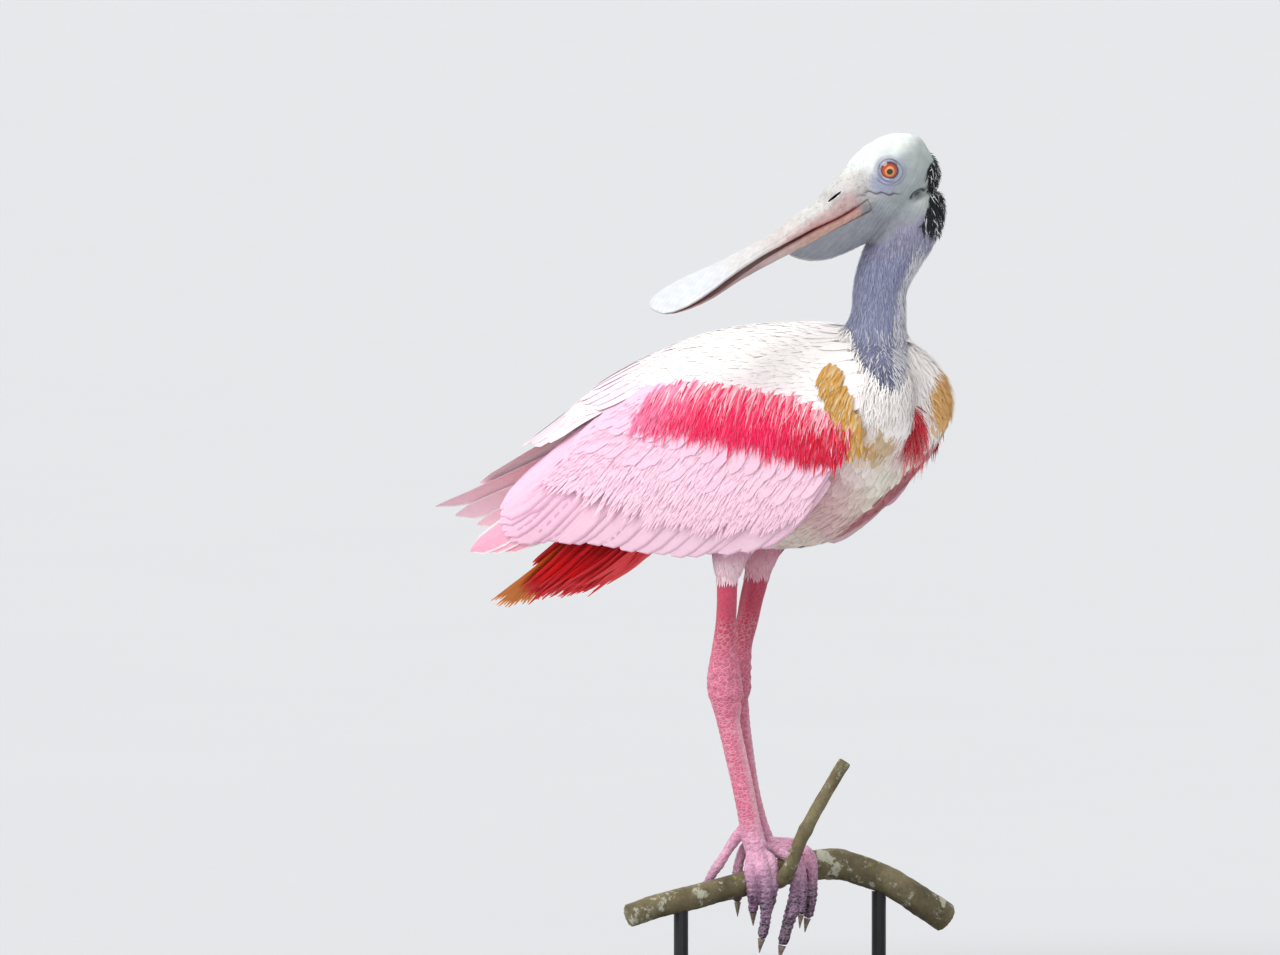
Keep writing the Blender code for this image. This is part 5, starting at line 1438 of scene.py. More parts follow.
def nostril_cutters():
    made = []
    lean = Matrix.Rotation(math.radians(NOSTRIL_TILT), 4, "Y")
    for _, side in SIDES:
        slit = ball_mesh(Matrix.Identity(4), NOSTRIL_SIZE)
        place = Matrix.Translation((NOSTRIL_PLACE[0], side * (NOSTRIL_PLACE[1] + 0.0006), NOSTRIL_PLACE[2]))
        slit.transform(head_matrix() @ place @ lean)
        made.append(link("slit", slit))
    return made


def make_bill():
    finish = horn_look()
    for name, table, upper in (("bill_upper", UPPER_BILL, True), ("bill_lower", LOWER_BILL, False)):
        mesh = rings_mesh(name, half_rings(table, 56, 170, upper, BILL_BASE - 0.0035, 0.0016))
        places, normals = places_and_normals(mesh)
        tint = bill_tint(places, normals, upper)
        places = places + normals * bill_relief(places)[:, None]
        set_places(mesh, from_head(places))
        set_tint(mesh, tint, 0.08 + 0.92 * smooth(0.125, 0.060, places[:, 0]))
        obj = link("horn_" + name, mesh, finish)
        if upper:
            combine(obj, nostril_cutters(), operation="DIFFERENCE")
        dress(obj, "bill_horn", name)


def eye_tint(places):
    """Black pupil, an iris from orange to dark red and a lavender white, by how far from the eye's axis."""
    ring = np.where(places[:, 2] > 0, np.hypot(places[:, 0], places[:, 1]), 0.02)
    iris = blend(srgb(238, 160, 48), srgb(180, 52, 20), smooth(0.0022, 0.0038, ring))
    iris = blend(iris, srgb(96, 28, 16), 0.8 * smooth(0.0042, 0.0050, ring))
    return paint(
        srgb(20, 12, 12),
        (srgb(150, 146, 170), smooth(0.0056, 0.0060, ring)),
        (iris, smooth(0.0018, 0.0021, ring) * smooth(0.0054, 0.0050, ring)),
    )


def make_eyes():
    finish = eye_look()
    for word, side in SIDES:
        ball = {"u_segments": 60, "v_segments": 60, "radius": EYE_RADIUS}
        mesh = shaped("eyeball_" + word, bmesh.ops.create_uvsphere, **ball)
        set_tint(mesh, eye_tint(vectors(mesh.vertices, "co")))
        axis = Vector((EYE_OUTWARD[0], side, EYE_OUTWARD[2])).normalized()
        turn = axis.to_track_quat("Z", "Y").to_matrix().to_4x4()
        centre = Matrix.Translation((EYE_PLACE[0], side * EYE_PLACE[1], EYE_PLACE[2]))
        mesh.transform(head_matrix() @ centre @ turn)
        mesh.shade_smooth()
        dress(link("eyeball_" + word, mesh, finish), "eye_red", "eye_" + word)


# Feathers over the body


class Ground:
    """A skin that feathers grow from and follow."""

    def __init__(self, mesh):
        mesh.calc_loop_triangles()
        tris = np.empty(len(mesh.loop_triangles) * 3, np.int32)
        mesh.loop_triangles.foreach_get("vertices", tris)
        self.tris = tris.reshape(-1, 3)
        self.places, normals = places_and_normals(mesh)
        self.soft = unit(normals[self.tris].mean(axis=1))
        self.tree = BVHTree.FromPolygons(self.places.tolist(), self.tris.tolist())
        first, second, third = self.places[self.tris].transpose(1, 0, 2)
        self.areas = np.linalg.norm(np.cross(second - first, third - first), axis=1) / 2

    def scatter(self, wanted, spacing, dice):
        """Evenly spread places where wanted holds."""
        area = self.areas * wanted(self.places[self.tris].mean(axis=1))
        count = int(area.sum() / spacing**2 * 6) + 1
        picked = dice.choice(len(area), size=count, p=area / area.sum())
        a, b = dice.random(count), dice.random(count)
        flip = a + b > 1
        a, b = np.where(flip, 1 - a, a), np.where(flip, 1 - b, b)
        corners = self.places[self.tris[picked]]
        places = corners[:, 0] + a[:, None] * (corners[:, 1] - corners[:, 0])
        places = places + b[:, None] * (corners[:, 2] - corners[:, 0])
        cells = np.floor(places / spacing).astype(np.int64)
        _, first = np.unique(cells, axis=0, return_index=True)
        return places[np.sort(first)]

    def nearest(self, places):
        found = [self.tree.find_nearest(p) for p in places.tolist()]
        spots = np.array([f[0] for f in found])
        return spots, self.soft[[f[2] for f in found]]

    def follow(self, roots, flow, length, steps):
        """Paths over the skin from each root: places and normals as feather, step, xyz."""
        place = roots
        places, normals = [], []
        for _ in range(steps + 1):
            place, out = self.nearest(place)
            places.append(place)
            normals.append(out)
            heading = flow(place)
            heading = unit(heading - out * np.einsum("ij,ij->i", heading, out)[:, None])
            place = place + heading * (length / steps)[:, None]
        return np.stack(places, 1), np.stack(normals, 1)


def unwrap_body(places):
    """Round the trunk's axis and along it, within 0 and 1."""
    x, y, z = places.T
    turn = np.arctan2(z - 0.265 - FEET_HEIGHT, y) / (2 * math.pi) + 0.5
    return np.stack((0.02 + 0.96 * np.clip((x + 0.28) / 0.42, 0, 1), 0.02 + 0.96 * turn), -1)


def unwrap_neck(places):
    """Round the neck and up it, within 0 and 1."""
    x, y, z = places.T
    turn = np.arctan2(y, x - 0.085) / (2 * math.pi) + 0.5
    return np.stack((0.02 + 0.96 * turn, 0.02 + 0.96 * np.clip((z - 0.40) / 0.17, 0, 1)), -1)


def plant(ground, name, slot, finish, wanted, spacing, seed, flow, length, width, lift, tints, steps,
          thick=0.00006, swirl=0.12, around=unwrap_body, ring=BLADE, shape=WISP_SHAPE, cup=0.0):
    """A coat piece with a feather at each place that is wanted.

    Lift is at the root and at the tip, and tints gives the roots' and the tips' colours.
    """
    roots = ground.scatter(wanted, spacing, np.random.default_rng(seed))
    dice = np.random.default_rng(seed + 1)
    n = len(roots)
    long = length * dice.uniform(0.75, 1.25, n)
    wide = width * dice.uniform(0.75, 1.25, n)
    turn = dice.normal(0, swirl, (n, 3))
    places, normals = ground.follow(roots, lambda p: flow(p) + turn, long, steps)
    share = np.linspace(0, 1, steps + 1)
    high = lift[1] * dice.uniform(0.5, 1.3, n)
    rise = lift[0] + (high[:, None] - lift[0]) * share**0.8
    half = wide[:, None] / 2 * profile(share, shape)
    thickness = np.broadcast_to(thick * (1 - 0.6 * share), half.shape)
    points = sweep(places + normals * rise[..., None], normals, half, thickness, ring, cup)
    coat = Coat()
    coat.add(points, ring, tints(places[:, (steps + 1) // 2], dice), around(roots))
    coat.make(name, finish, slot)


def body_flow(places):
    """The lie of the body's feathers: down the breast, back along the trunk, down the thighs."""
    x, y, z = low(places).T
    one = np.ones_like(x)
    back = np.stack((-one, 0.12 * np.sign(y) * smooth(0.30, 0.33, z), -0.30 * one), -1)
    down = np.stack((0.10 * one, 0.6 * y / 0.05, -one), -1)
    made = blend(back, down, smooth(0.045, 0.095, x))
    thigh = smooth(0.208, 0.196, z) * (np.abs(x + 0.026) < 0.030)
    return blend(made, np.array([-0.10, 0.0, -1.0]), thigh)


def straight_down(places):
    return np.tile([0.0, 0.0, -1.0], (len(places), 1))


def shade_tints(places, dice):
    tint = body_tint(places) * dice.uniform(0.96, 1.04, (len(places), 1))
    return tint * 0.96, tint * 1.02


def on_thigh(places):
    x, y, z = low(places).T
    return (z < 0.207) & (z > 0.1775) & (np.abs(x + 0.026) < 0.032)


def on_trunk(places):
    x, y, z = low(places).T
    bare = (z > plume_top(places) - 0.004) & (x > 0.066)
    return (z < 0.335) & (z > 0.188) & (x > -0.165) & ~bare & ~on_thigh(places)


def make_body_feathers(ground):
    """Broad contour feathers with fine wisps over them, and the thighs' short velvet, whiter low down."""
    vanes = feather_look("body_feathers", 70.0, 0.00006, 0.06)
    plant(ground, "contour_feathers", "body_white", vanes, on_trunk,
          0.0050, 101, body_flow, 0.020, 0.0110, (-0.0006, 0.0012), shade_tints, 5,
          thick=0.00014, swirl=0.08, ring=LENS, shape=COVERT_SHAPE, cup=0.04)
    plant(ground, "body_wisps", "body_white", wisp_look("wisps", 0.06), on_trunk,
          0.0033, 103, body_flow, 0.012, 0.0011, (0.0006, 0.0016), shade_tints, 3)

    def velvet(places, dice):
        share = smooth(0.193, 0.183, low(places)[:, 2])
        tint = blend(srgb(224, 172, 190), srgb(244, 218, 224), share * dice.uniform(0.3, 1.0, len(places)))
        # The far thigh's velvet is darkened: painted shade
        tint = tint * np.where(places[:, 1:2] > 0, (0.86, 0.66, 0.70), 1.0)
        return tint * 0.95, tint

    plant(ground, "thigh_down", "body_white", wisp_look("thigh_velvet", 0.06), on_thigh,
          0.0015, 151, straight_down, 0.0048, 0.0014, (0.0001, 0.0006), velvet, 3, swirl=0.08)


def make_neck_feathers(ground):
    """Short slate fuzz with a white hind edge, the white ruff below it and the black nape's flecks."""
    def on_neck(places):
        x, y, z = low(places).T
        head = to_head(places)
        ours = (z > plume_top(places) - 0.003) & (z < 0.412) & (x > 0.045)
        return ours & ((head[:, 2] < jaw_line(head)) | (z < 0.356)) & (nape_share(head) < 0.4)

    def fuzz(places, dice):
        n = len(places)
        base = neck_tint(places)
        share = dice.uniform(0.0, 0.75, n)
        z = low(places)[:, 2]
        middle = np.interp(z, (0.335, 0.361, 0.386, 0.412), (0.0573, 0.0616, 0.0713, 0.0824))
        outer = smooth(0.0100, 0.0135, across(places) - middle) * smooth(0.395, 0.375, z)
        white = dice.random(n) < 0.9 * np.maximum(outer, 0.25 * smooth(0.340, 0.328, z))
        tip = np.where(white[:, None], srgb(238, 236, 238), blend(base, srgb(206, 208, 228), share))
        return np.where(white[:, None], srgb(200, 198, 206), base), tip

    plant(ground, "neck_fuzz", "neck_slate", wisp_look("fuzz", 0.08), on_neck,
          0.0013, 111, straight_down, 0.0052, 0.00055, (0.0, 0.0010), fuzz, 3,
          thick=0.00008, swirl=0.16, around=unwrap_neck)

    def ruff(places):
        x, y, z = low(places).T
        return (z > 0.286) & (z < plume_top(places) + 0.003) & (x > 0.040)

    def spread(places):
        x, y, z = low(places).T
        return np.stack((0.25 * (x - 0.074) / 0.02, 0.4 * y / 0.02, -np.ones_like(x)), -1)

    plant(ground, "neck_ruff", "body_white", bpy.data.materials["wisps"], ruff,
          0.0017, 113, spread, 0.0095, 0.0008, (0.0008, 0.0034), shade_tints, 4,
          swirl=0.28, around=unwrap_neck)

    def on_band(places):
        return (nape_share(to_head(places)) > 0.25) & (low(places)[:, 2] > 0.385)

    def flecks(places, dice):
        white = dice.random(len(places)) < 0.16
        tint = np.where(white[:, None], srgb(226, 226, 226), srgb(34, 34, 42))
        return tint * 0.8, tint

    plant(ground, "nape_feathers", "neck_slate", wisp_look("nape"), on_band,
          0.0013, 121, lambda places: np.tile([0.3, 0.2, -1.0], (len(places), 1)), 0.0056, 0.0009,
          (0.0002, 0.0024), flecks, 3, thick=0.00018, swirl=0.5, around=unwrap_neck)


def make_tuft():
    """The crimson plume in the middle of the breast, its filaments pale at their tips."""
    dice = np.random.default_rng(131)
    n, steps = TUFT_COUNT, 8
    share = np.linspace(0, 1, steps + 1)
    x0 = 0.0930 + 0.004 * dice.random(n)
    y0 = dice.normal(-0.010, 0.0022, n)
    z0 = 0.296 - 0.012 * dice.random(n)
    reach = dice.uniform(0.016, 0.044, n)
    fan = dice.normal(0.24, 0.22, n) + (y0 + 0.010) * 40
    y = y0[:, None] + np.sin(fan)[:, None] * reach[:, None] * share**1.3
    z = z0[:, None] - np.cos(fan)[:, None] * reach[:, None] * share
    bulge = 0.009 * np.sin(math.pi * np.clip(share * 0.9, 0, 1)) + 0.006 * share
    x = x0[:, None] + bulge * dice.uniform(0.7, 1.2, (n, 1)) - np.abs(y) * 0.15
    centre = np.stack((x, y, z + FEET_HEIGHT), -1)
    normal = np.tile([1.0, 0.0, 0.25], (n, steps + 1, 1))
    along = unit(np.gradient(centre, axis=1))
    normal = unit(normal - along * np.einsum("ijk,ijk->ij", normal, along)[..., None])
    half = dice.uniform(0.00020, 0.0006, (n, 1)) * profile(share, WISP_SHAPE)
    points = sweep(centre, normal, half, np.full_like(half, 0.00010), BLADE)
    root = srgb(214, 8, 46) * dice.uniform(0.75, 1.15, (n, 1))
    tip = blend(srgb(228, 44, 74), srgb(250, 214, 206), dice.random(n) ** 2.4)
    coat = Coat()
    coat.add(points, BLADE, (root, tip), np.stack((0.5 + y0 * 8, 0.5 + (z0 - 0.285) * 8), -1), 3.0)
    coat.make("breast_tuft", wisp_look("tuft"), "wing_pink")


# Wings


def bed_vanes(coat, side, roots, tips, width, lifts, shape, tints, steps=14, ring=BROAD, tilt=0.0010,
              thick=0.00022, bow=0.0):
    """Feathers on the folded-wing surface: roots and tips are x and degrees of each."""
    share = np.linspace(0, 1, steps + 1)
    x = roots[:, :1] + (tips[:, :1] - roots[:, :1]) * share
    degrees = roots[:, 1:] + (tips[:, 1:] - roots[:, 1:]) * share
    degrees = degrees + np.asarray(bow).reshape(-1, 1) * np.sin(math.pi * share)
    radius = bed_radius(x, degrees)
    run = unit(np.stack((np.gradient(x, axis=1), np.radians(np.gradient(degrees, axis=1)) * radius), -1))
    half = np.asarray(width).reshape(-1, 1) / 2 * profile(share, shape)
    ring_x, ring_z = np.array(ring)
    shift = half[..., None] * ring_x
    px = x[..., None] - run[..., 1:] * shift
    pd = degrees[..., None] + np.degrees(run[..., :1] * shift / radius[..., None])
    first, last = (np.broadcast_to(lift, len(roots))[:, None] for lift in lifts)
    lift = (first + (last - first) * share**0.7)[..., None] + ring_z * thick * (1 - 0.5 * share)[:, None]
    points = bed(side, px, pd, lift + tilt * ring_x * profile(share, shape)[:, None])
    place = np.stack((0.05 + 0.9 * (roots[:, 0] + 0.28) / 0.42, 0.05 + 0.9 * (roots[:, 1] + 60) / 160), -1)
    coat.add(points, ring, tints, np.clip(place, 0.01, 0.99))


def soft_vanes(coat, side, roots, tips, width, lifts, tints, steps, thick, bow=0.0):
    bed_vanes(coat, side, roots, tips, width, lifts, WISP_SHAPE, tints, steps, BLADE, 0.0, thick, bow)


def wing_tint(degrees, dice):
    """The vanes' pink: lilac pink above, paler low down."""
    tint = blend(WING_PALE, WING_LILAC, smooth(-10, 25, degrees))
    return tint * dice.uniform(0.97, 1.03, (len(degrees), 1))


def tier(coat, side, count, roots, tips, width, lift, seed,
         shape=FLIGHT_SHAPE, spread=1.0, tint=None, tilt=0.0010):
    """A row of overlapping vanes. Width is that of the first and the last, lift that of root and tip."""
    dice = np.random.default_rng(seed)
    share = np.arange(count) / (count - 1)
    start, end = path(roots, share).T, path(tips, share).T
    start = start + dice.normal(0, 1, (count, 2)) * (0.0015, 1.0) * spread
    end = end + dice.normal(0, 1, (count, 2)) * (0.0025, 1.0) * spread
    wide = (width[0] + (width[1] - width[0]) * share) * dice.uniform(0.94, 1.06, count)
    lifts = (lift[0], lift[1] + dice.uniform(0, 0.0004, count))
    base = wing_tint(start[:, 1], dice) if tint is None else tint * dice.uniform(0.94, 1.06, (count, 1))
    bed_vanes(coat, side, start, end, wide, lifts, shape, (base * 0.97, base * 1.04), tilt=tilt)


COVERT_TIERS = (
    (17, GREATER_ROOTS, GREATER_TIPS, (0.0165, 0.0215), (-0.0022, -0.0004)),
    (18, MEDIAN_ROOTS, MEDIAN_TIPS, (0.0150, 0.0190), (-0.0004, 0.0014)),
    (17, np.add(GREATER_ROOTS, MEDIAN_ROOTS) / 2, np.add(GREATER_TIPS, MEDIAN_TIPS) / 2,
     (0.0160, 0.0205), (-0.0012, 0.0006)),
)


def make_wings():
    """Each wing's primaries, flight feathers and coverts, the carmine band and silky streaks."""
    rose = feather_look("primaries", 150.0, 0.00014, 0.10, BODY_WHITE, 0.8)
    pink = feather_look("wing_vanes", 150.0, 0.00010, 0.07)
    carmine, silk = wisp_look("carmine", 0.10), wisp_look("wing_silk", 0.05)
    for word, side in SIDES:
        near, seed = side < 0, 200 if side < 0 else 250
        # The near wing's flights get a dark edge of painted shade between feathers; the far wing's get a pale
        # edge
        lined = feather_look("flights", 150.0, 0.00010, 0.07, WING_GAP_SHADE if near else BODY_WHITE, 0.45)
        primaries, flights, coverts = Coat(), Coat(), Coat()
        # The far wing gets paler copies of the colours: painted light against the shadow that it lies in
        tier(primaries, side, 4, PRIMARY_ROOTS, PRIMARY_TIPS[word], (0.018, 0.020), (-0.0050, -0.0044), seed,
             tint=PRIMARY_ROSE if near else FAR_ROSE_PAINTED_LIGHT)
        tier(flights, side, 22, FLIGHT_ROOTS, FLIGHT_TIPS[word], (0.0170, 0.0260), (-0.0034, -0.0024),
             seed + 1, spread=0.6, tint=None if near else FAR_WHITE_PAINTED_LIGHT, tilt=0.0005)
        for row, numbers in enumerate(COVERT_TIERS):
            tier(coverts, side, *numbers, seed + 2 + row, COVERT_SHAPE)
        primaries.make("primaries_" + word, rose, "wing_pink")
        flights.make("flights_" + word, lined, "wing_pink")
        coverts.make("wing_vanes_" + word, pink, "wing_pink", "wing_" + word)
        make_band(side, np.random.default_rng(seed + 10)).make("carmine_band_" + word, carmine, "wing_pink")
        make_silk(side, np.random.default_rng(seed + 20)).make("wing_wisps_" + word, silk, "wing_pink")


def make_band(side, dice):
    """The carmine band: long soft plumes that hang over the pink."""
    n = BAND_COUNT
    share = np.sort(dice.random(n))
    down = dice.random(n) ** 0.8
    top, end = path(BAND_ROOTS, share).T, path(BAND_TIPS, share).T
    roots = top + (end - top) * (0.14 + down * 0.50)[:, None] + dice.normal(0, 1, (n, 2)) * (0.0030, 1.4)
    run = (end - top) * dice.uniform(0.32, 0.72, n)[:, None] * (0.5, 1.0)
    tips = roots + run + dice.normal(0, 1, (n, 2)) * (0.0028, 1.5)
    deep = np.clip(smooth(0.50, 0.05, share) * 0.9 + dice.normal(0, 0.25, n), 0, 1)
    rear = smooth(0.74, 1.0, share + dice.normal(0, 0.06, n))
    pale = smooth(0.26, 0.04, down) * dice.random(n) ** 0.6
    tint = paint(
        srgb(255, 10, 92),
        (srgb(214, 0, 36), deep),
        (srgb(246, 140, 180), 0.85 * rear),
        (srgb(252, 222, 232), 0.9 * pale),
    )
    tip = blend(tint, srgb(252, 150, 184), 0.5 * dice.random(n) ** 3)
    lifts = (0.0006, 0.0022 + 0.0014 * dice.random(n) * (1 - down * 0.3))
    coat = Coat()
    width = dice.uniform(0.0008, 0.0022, n)
    soft_vanes(coat, side, roots, tips, width, lifts, (tint, tip), 5, 0.00008, dice.normal(0, 0.8, n))
    return coat


def make_silk(side, dice):
    n = SILK_COUNT
    share, down = dice.random(n), dice.random(n)
    top, end = path(MEDIAN_ROOTS, share).T, path(GREATER_TIPS, share).T
    roots = top + (end - top) * (down * 0.95)[:, None] + dice.normal(0, 1, (n, 2)) * (0.004, 1.5)
    run = (end - top) * dice.uniform(0.16, 0.30, n)[:, None]
    tips = roots + run + dice.normal(0, 1, (n, 2)) * (0.002, 1.0)
    tint = wing_tint(roots[:, 1], dice)
    high = np.interp(down, (0, 1), (0.0020, 0.0002))
    lifts = (high - 0.0014, high + 0.0002 * dice.random(n))
    coat, width = Coat(), dice.uniform(0.0020, 0.0050, n)
    soft_vanes(coat, side, roots, tips, width, lifts, (tint, tint * 1.02), 5, 0.00005)
    return coat


def white_plumes(coat, side, dice):
    x = dice.uniform(-0.135, 0.092, BACK_COUNT)
    upper = 96.0
    lower = np.interp(x, (-0.135, -0.058, 0.000, 0.045, 0.092), (42, 42, 35, 27, 8))
    down = dice.random(len(x))
    degrees = upper + (lower - upper) * down
    place = bed(side, x, degrees)
    kept = (x < 0.060) | (low(place)[:, 2] < np.minimum(plume_top(place) - 0.004, 0.331))
    x, degrees, down = x[kept], degrees[kept], down[kept]
    n = len(x)
    length = np.interp(x, (-0.135, -0.05, 0.092), (0.034, 0.030, 0.020)) * dice.uniform(0.8, 1.2, n)
    fall = np.interp(x, (-0.135, 0.092), (2, 10)) * dice.uniform(0.4, 1.2, n)
    tint = paint(
        BODY_WHITE,
        (srgb(248, 222, 232), smooth(0.75, 1.0, down) * 0.6),
        (srgb(248, 226, 232), 0.6 * smooth(-0.02, -0.12, x)),
    )
    tint = tint * dice.uniform(0.97, 1.03, (n, 1))
    lifts = (-0.0020, 0.0008 + 0.0006 * dice.random(n))
    roots, tips = np.stack((x, degrees), -1), np.stack((x - length, degrees - fall), -1)
    width, tints = dice.uniform(0.005, 0.0105, n), (tint * 0.98, tint * 1.01)
    bed_vanes(coat, side, roots, tips, width, lifts, PLUME_SHAPE, tints, 5, LENS, 0.0002, 0.00014)


def gold_wisps(coat, side, dice):
    """Wisps over the golden strip, and over the top of the far side's golden patch."""
    n = GOLD_TRIES
    x, degrees = dice.uniform(0.040, 0.094, n), dice.uniform(-8, 60, n)
    place = bed(side, x, degrees)
    kept = (gold_share(place) > dice.uniform(0.3, 1.0, n)) & ((side < 0) | (low(place)[:, 2] > 0.284))
    roots = np.stack((x[kept], degrees[kept]), -1)
    n = len(roots)
    tips = roots + np.stack((dice.uniform(-0.003, 0.001, n), dice.uniform(-13, -7, n)), -1)
    tint = blend(BODY_GOLD * dice.uniform(0.66, 0.92, (n, 1)), BODY_CREAM, 0.5 * dice.random(n) ** 4)
    lifts = (0.0008, 0.0016 + 0.0010 * dice.random(n))
    width = dice.uniform(0.0014, 0.0028, n)
    soft_vanes(coat, side, roots, tips, width, lifts, (tint * 0.9, tint), 4, 0.00006)


def make_mantle():
    """White feathers of the back, and the long scapulars that lie over the wings' inner edges."""
    white, gold, scapulars = Coat(), Coat(), Coat()
    for side in (-1, 1):
        dice = np.random.default_rng(300 + side)
        white_plumes(white, side, dice)
        gold_wisps(gold, side, dice)
        for *numbers, seed in SCAPULAR_TIERS:
            tier(scapulars, side, *numbers, seed + side, tint=srgb(240, 218, 226))
    white.make("mantle_plumes", bpy.data.materials["body_feathers"], "body_white")
    gold.make("gold_plumes", bpy.data.materials["wisps"], "body_white")
    scapulars.make("scapulars", bpy.data.materials["wing_vanes"], "body_white")


# Tail


def tail_fan(coat, count, spread, length, width, lift, shape, tints, seed, reach=0.006):
    """Vanes spread from the tail's root by up to spread degrees to each side."""
    dip = math.radians(TAIL_DIP)
    along = np.array([-math.cos(dip), 0, -math.sin(dip)])
    above = np.array([-math.sin(dip), 0, math.cos(dip)])
    left = np.array([0, 1.0, 0])
    dice = np.random.default_rng(seed)
    share = np.linspace(0, 1, 17)
    place = np.linspace(-1, 1, count)
    turn = np.radians(place * spread)
    long = length * (1 - 0.06 * np.abs(place)) * dice.uniform(0.96, 1.03, count)
    middle = np.array(TAIL_ROOT) + FEET
    middle = middle + along * (long * np.cos(turn))[:, None, None] * share[None, :, None]
    sway = (place * reach)[:, None] + (long * np.sin(turn))[:, None] * share**2
    middle = middle + left * sway[..., None]
    fan = turn[:, None] * np.minimum(2 * share, 1.0)
    side = left * np.cos(fan)[..., None] - along * np.sin(fan)[..., None]
    arch = -0.0040 * (np.sin(turn) ** 2)[:, None] * share
    half = width / 2 * profile(share, shape) * np.ones((count, 1))
    ring_x, ring_z = np.array(BROAD)
    rise = lift + arch[..., None] + 0.0008 * ring_x * profile(share, shape)[:, None] + ring_z * 0.00025
    wide = side[:, :, None] * (half[..., None] * ring_x)[..., None]
    points = middle[:, :, None] + wide + above * rise[..., None]
    tints = [np.broadcast_to(t, (count, 3)) * dice.uniform(0.9, 1.08, (count, 1)) for t in tints]
    coat.add(points, BROAD, tints, np.stack((0.5 + place * 0.3, 0.3 + 0 * place), -1))


def vent_vanes(coat, seed):
    """The crimson feathers under and beside the tail's root."""
    dice = np.random.default_rng(seed)
    n = VENT_COUNT
    row = np.sort(dice.random(n))
    place = dice.uniform(-1.05, 1.05, n)
    x0, z0 = path(VENT_ROOTS, row)
    x1, z1 = path(VENT_TIPS, row)
    spread = 0.0070 + 0.0045 * row
    root = np.stack((x0, place * spread, z0 + 0.004 * np.abs(place)), -1)
    tip = np.stack((x1, place * spread * 1.7, z1 + 0.006 * np.abs(place)), -1)
    tip = tip + dice.normal(0, 1, (n, 3)) * (0.003, 0.0016, 0.0018)
    share = np.linspace(0, 1, 8)
    centre = root[:, None] + (tip - root)[:, None] * share[None, :, None]
    heading = unit(tip - root)
    sideways = unit(np.array([0, 1.0, 0]) - heading * heading[:, 1:2])
    above = np.cross(heading, sideways)
    above = above * np.sign(above[:, 2:3])
    centre = centre - above[:, None] * (0.003 * np.sin(math.pi * share))[None, :, None]
    normal = np.repeat(-above[:, None], len(share), 1)
    half = dice.uniform(0.0050, 0.0080, (n, 1)) * profile(share, PLUME_SHAPE)
    points = sweep(centre + FEET, normal, half, np.full_like(half, 0.00022), LENS, 0.15)
    tint = blend(srgb(255, 56, 60), srgb(232, 24, 46), dice.random(n))
    coat.add(points, LENS, (tint, tint * 1.05), np.stack((0.2 + 0.6 * row, 0.5 + 0.4 * place), -1))


def make_tail():
    coat = Coat()
    tail_fan(coat, 16, TAIL_SPREAD, TAIL_LENGTH, 0.0110, 0.0, FLIGHT_SHAPE,
             (srgb(255, 112, 30), srgb(255, 150, 36)), 401)
    tail_fan(coat, 9, 16, 0.052, 0.015, 0.0026, COVERT_SHAPE, (srgb(236, 40, 44), srgb(228, 70, 60)), 402)
    vent_vanes(coat, 403)
    coat.make("tail_vanes", feather_look("tail_feathers", 150.0, 0.00010, 0.10), "tail_orange", "tail")


# Perch and stand


def stem_mesh(name, table, steps, sides, seed, thickness):
    """A branch with an uneven outline: thickness is a share of the table's radius at each step."""
    along_by, front_by, height, radius = path(table, np.linspace(0, 1, steps))
    places = branch_place(along_by, front_by, height)
    radii = radius * thickness
    heading = unit(np.gradient(places, axis=0))
    side = unit(np.cross(heading, [0.0, 0.0, 1.0]))
    ring = hoops(side, np.cross(side, heading), sides)
    rings = places[:, None] + ring * radii[:, None, None]
    flat = rings.reshape(-1, 3)
    bumps = 0.030 * ripple(flat, 0.016, seed) + 0.020 * ripple(flat, 0.006, seed + 1)
    size = 1 + bumps.reshape(rings.shape[:2])
    return rings_mesh(name, places[:, None] + ring * (radii[:, None] * size)[..., None])


def make_perch():
    knot = 1 + 0.16 * peak(np.linspace(0, 1, 120), 0.62, 0.025)
    wood = stem_mesh("wood", BRANCH, 240, 64, 501, 0.985)
    twig = stem_mesh("twig", TWIG, 120, 40, 511, 0.97 * knot)
    dress(voxel_join("branch", [wood, twig], BRANCH_GRAIN, 2, bark_look()), "bark", "perch")


def dress_nodes():
    """Claws and stand keep their own meshes and only get their looks."""
    claw, metal = claw_look(), metal_look()
    for name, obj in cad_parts.items():
        finish = claw if name.startswith("claw_") else metal if name.startswith("stand_") else None
        if finish:
            for slot in obj.material_slots:
                slot.material = finish


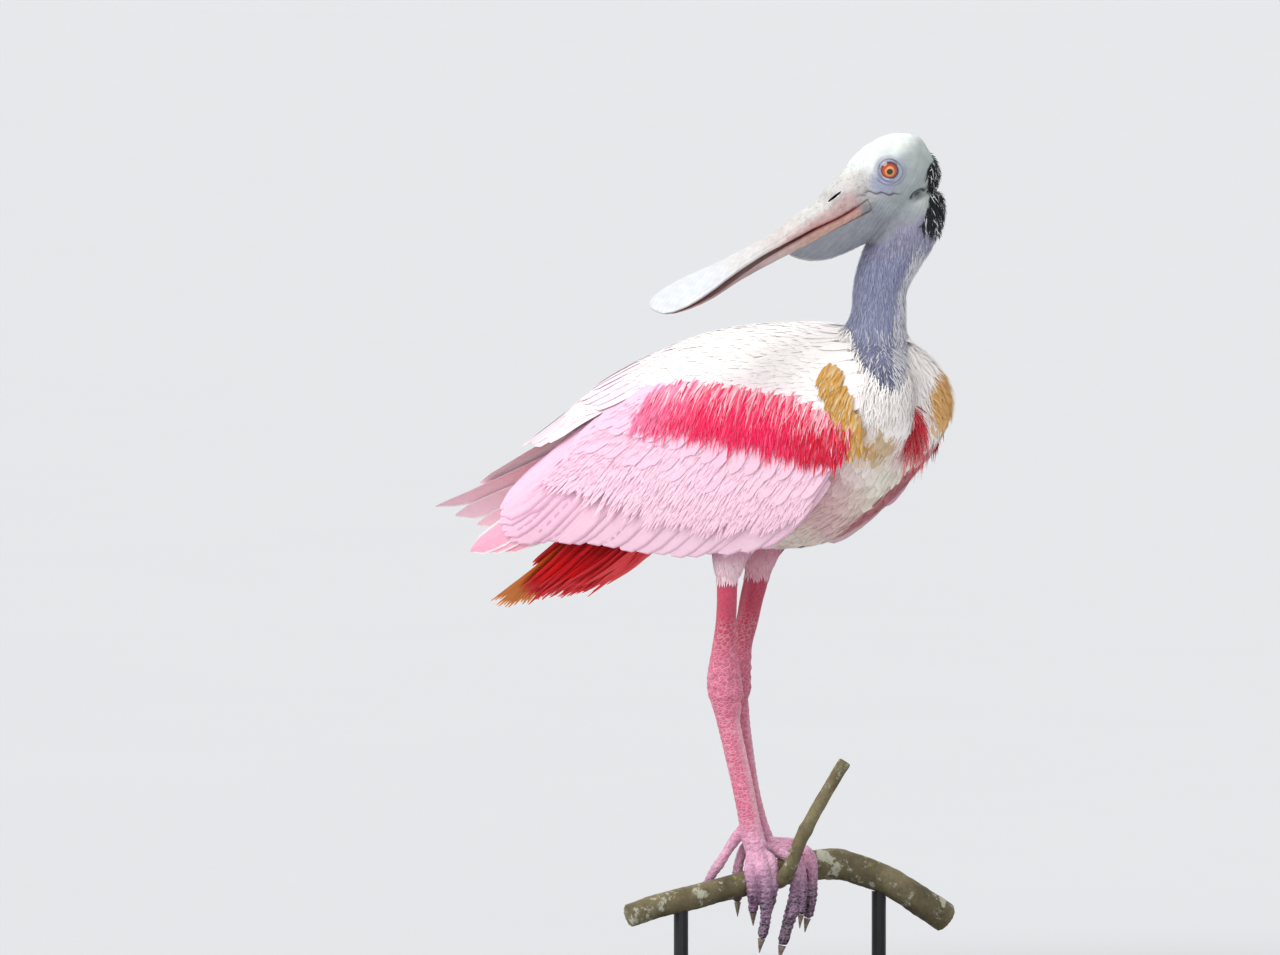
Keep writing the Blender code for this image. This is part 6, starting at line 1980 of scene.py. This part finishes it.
# Floor, light and camera. Lights: energy, direction that it comes from, width in degrees, colour
LIGHTS = (
    ("key", 2.0, (-0.35, -0.95, 1.20), 45.0, (1.0, 0.985, 0.96)),
    ("front", 0.9, (0.85, -0.60, 0.10), 60.0, (1.0, 1.0, 1.0)),
    ("back", 0.6, (-0.5, 1.0, 0.9), 40.0, (1.0, 1.0, 1.0)),
    ("left", 1.0, (-0.9, -0.45, 0.12), 60.0, (1.0, 1.0, 1.0)),
)


def make_floor():
    mesh = shaped("floor", bmesh.ops.create_circle, cap_ends=True, segments=96, radius=40.0)
    floor = link("floor", mesh, floor_look())
    floor.location = (0, 0, -0.0002)


def make_lights():
    world = bpy.data.worlds.new("studio")
    bpy.context.scene.world = world
    world.use_nodes = True
    sky = world.node_tree.nodes["Background"]
    sky.inputs["Color"].default_value = (0.88, 0.90, 0.93, 1.0)
    sky.inputs["Strength"].default_value = 0.72
    for name, energy, source, degrees, colour in LIGHTS:
        light = bpy.data.lights.new(name, "SUN")
        light.energy = energy
        light.color = colour
        light.angle = math.radians(degrees)
        link(name, light).rotation_euler = (-Vector(source)).to_track_quat("-Z", "Y").to_euler()


def make_camera():
    yaw, rise = math.radians(CAMERA_YAW), math.radians(CAMERA_RISE)
    towards = Vector((math.sin(yaw) * math.cos(rise), -math.cos(yaw) * math.cos(rise), math.sin(rise)))
    right = Vector((math.cos(yaw), math.sin(yaw), 0))
    up = towards.cross(right)
    target = Vector((0, 0, FEET_HEIGHT))
    target += right * ((MIDDLE_PIXEL[0] - FEET_PIXEL[0]) / PIXELS_PER_METRE)
    target += up * ((FEET_PIXEL[1] - MIDDLE_PIXEL[1]) / PIXELS_PER_METRE)
    data = bpy.data.cameras.new("camera")
    data.sensor_width = 36.0
    data.lens = data.sensor_width * CAMERA_DISTANCE / VIEW_WIDTH
    data.clip_end = 100.0
    camera = link("camera", data)
    camera.location = target + towards * CAMERA_DISTANCE
    camera.rotation_euler = (-towards).to_track_quat("-Z", "Y").to_euler()
    bpy.context.scene.camera = camera
    bpy.context.scene.view_settings.view_transform = "Standard"


def main():
    make_camera()
    make_lights()
    make_floor()
    dress_nodes()
    skin = make_skin()
    make_bill()
    make_eyes()
    ground = Ground(skin.data)
    make_body_feathers(ground)
    make_neck_feathers(ground)
    make_tuft()
    make_wings()
    make_mantle()
    make_tail()
    make_perch()


main()
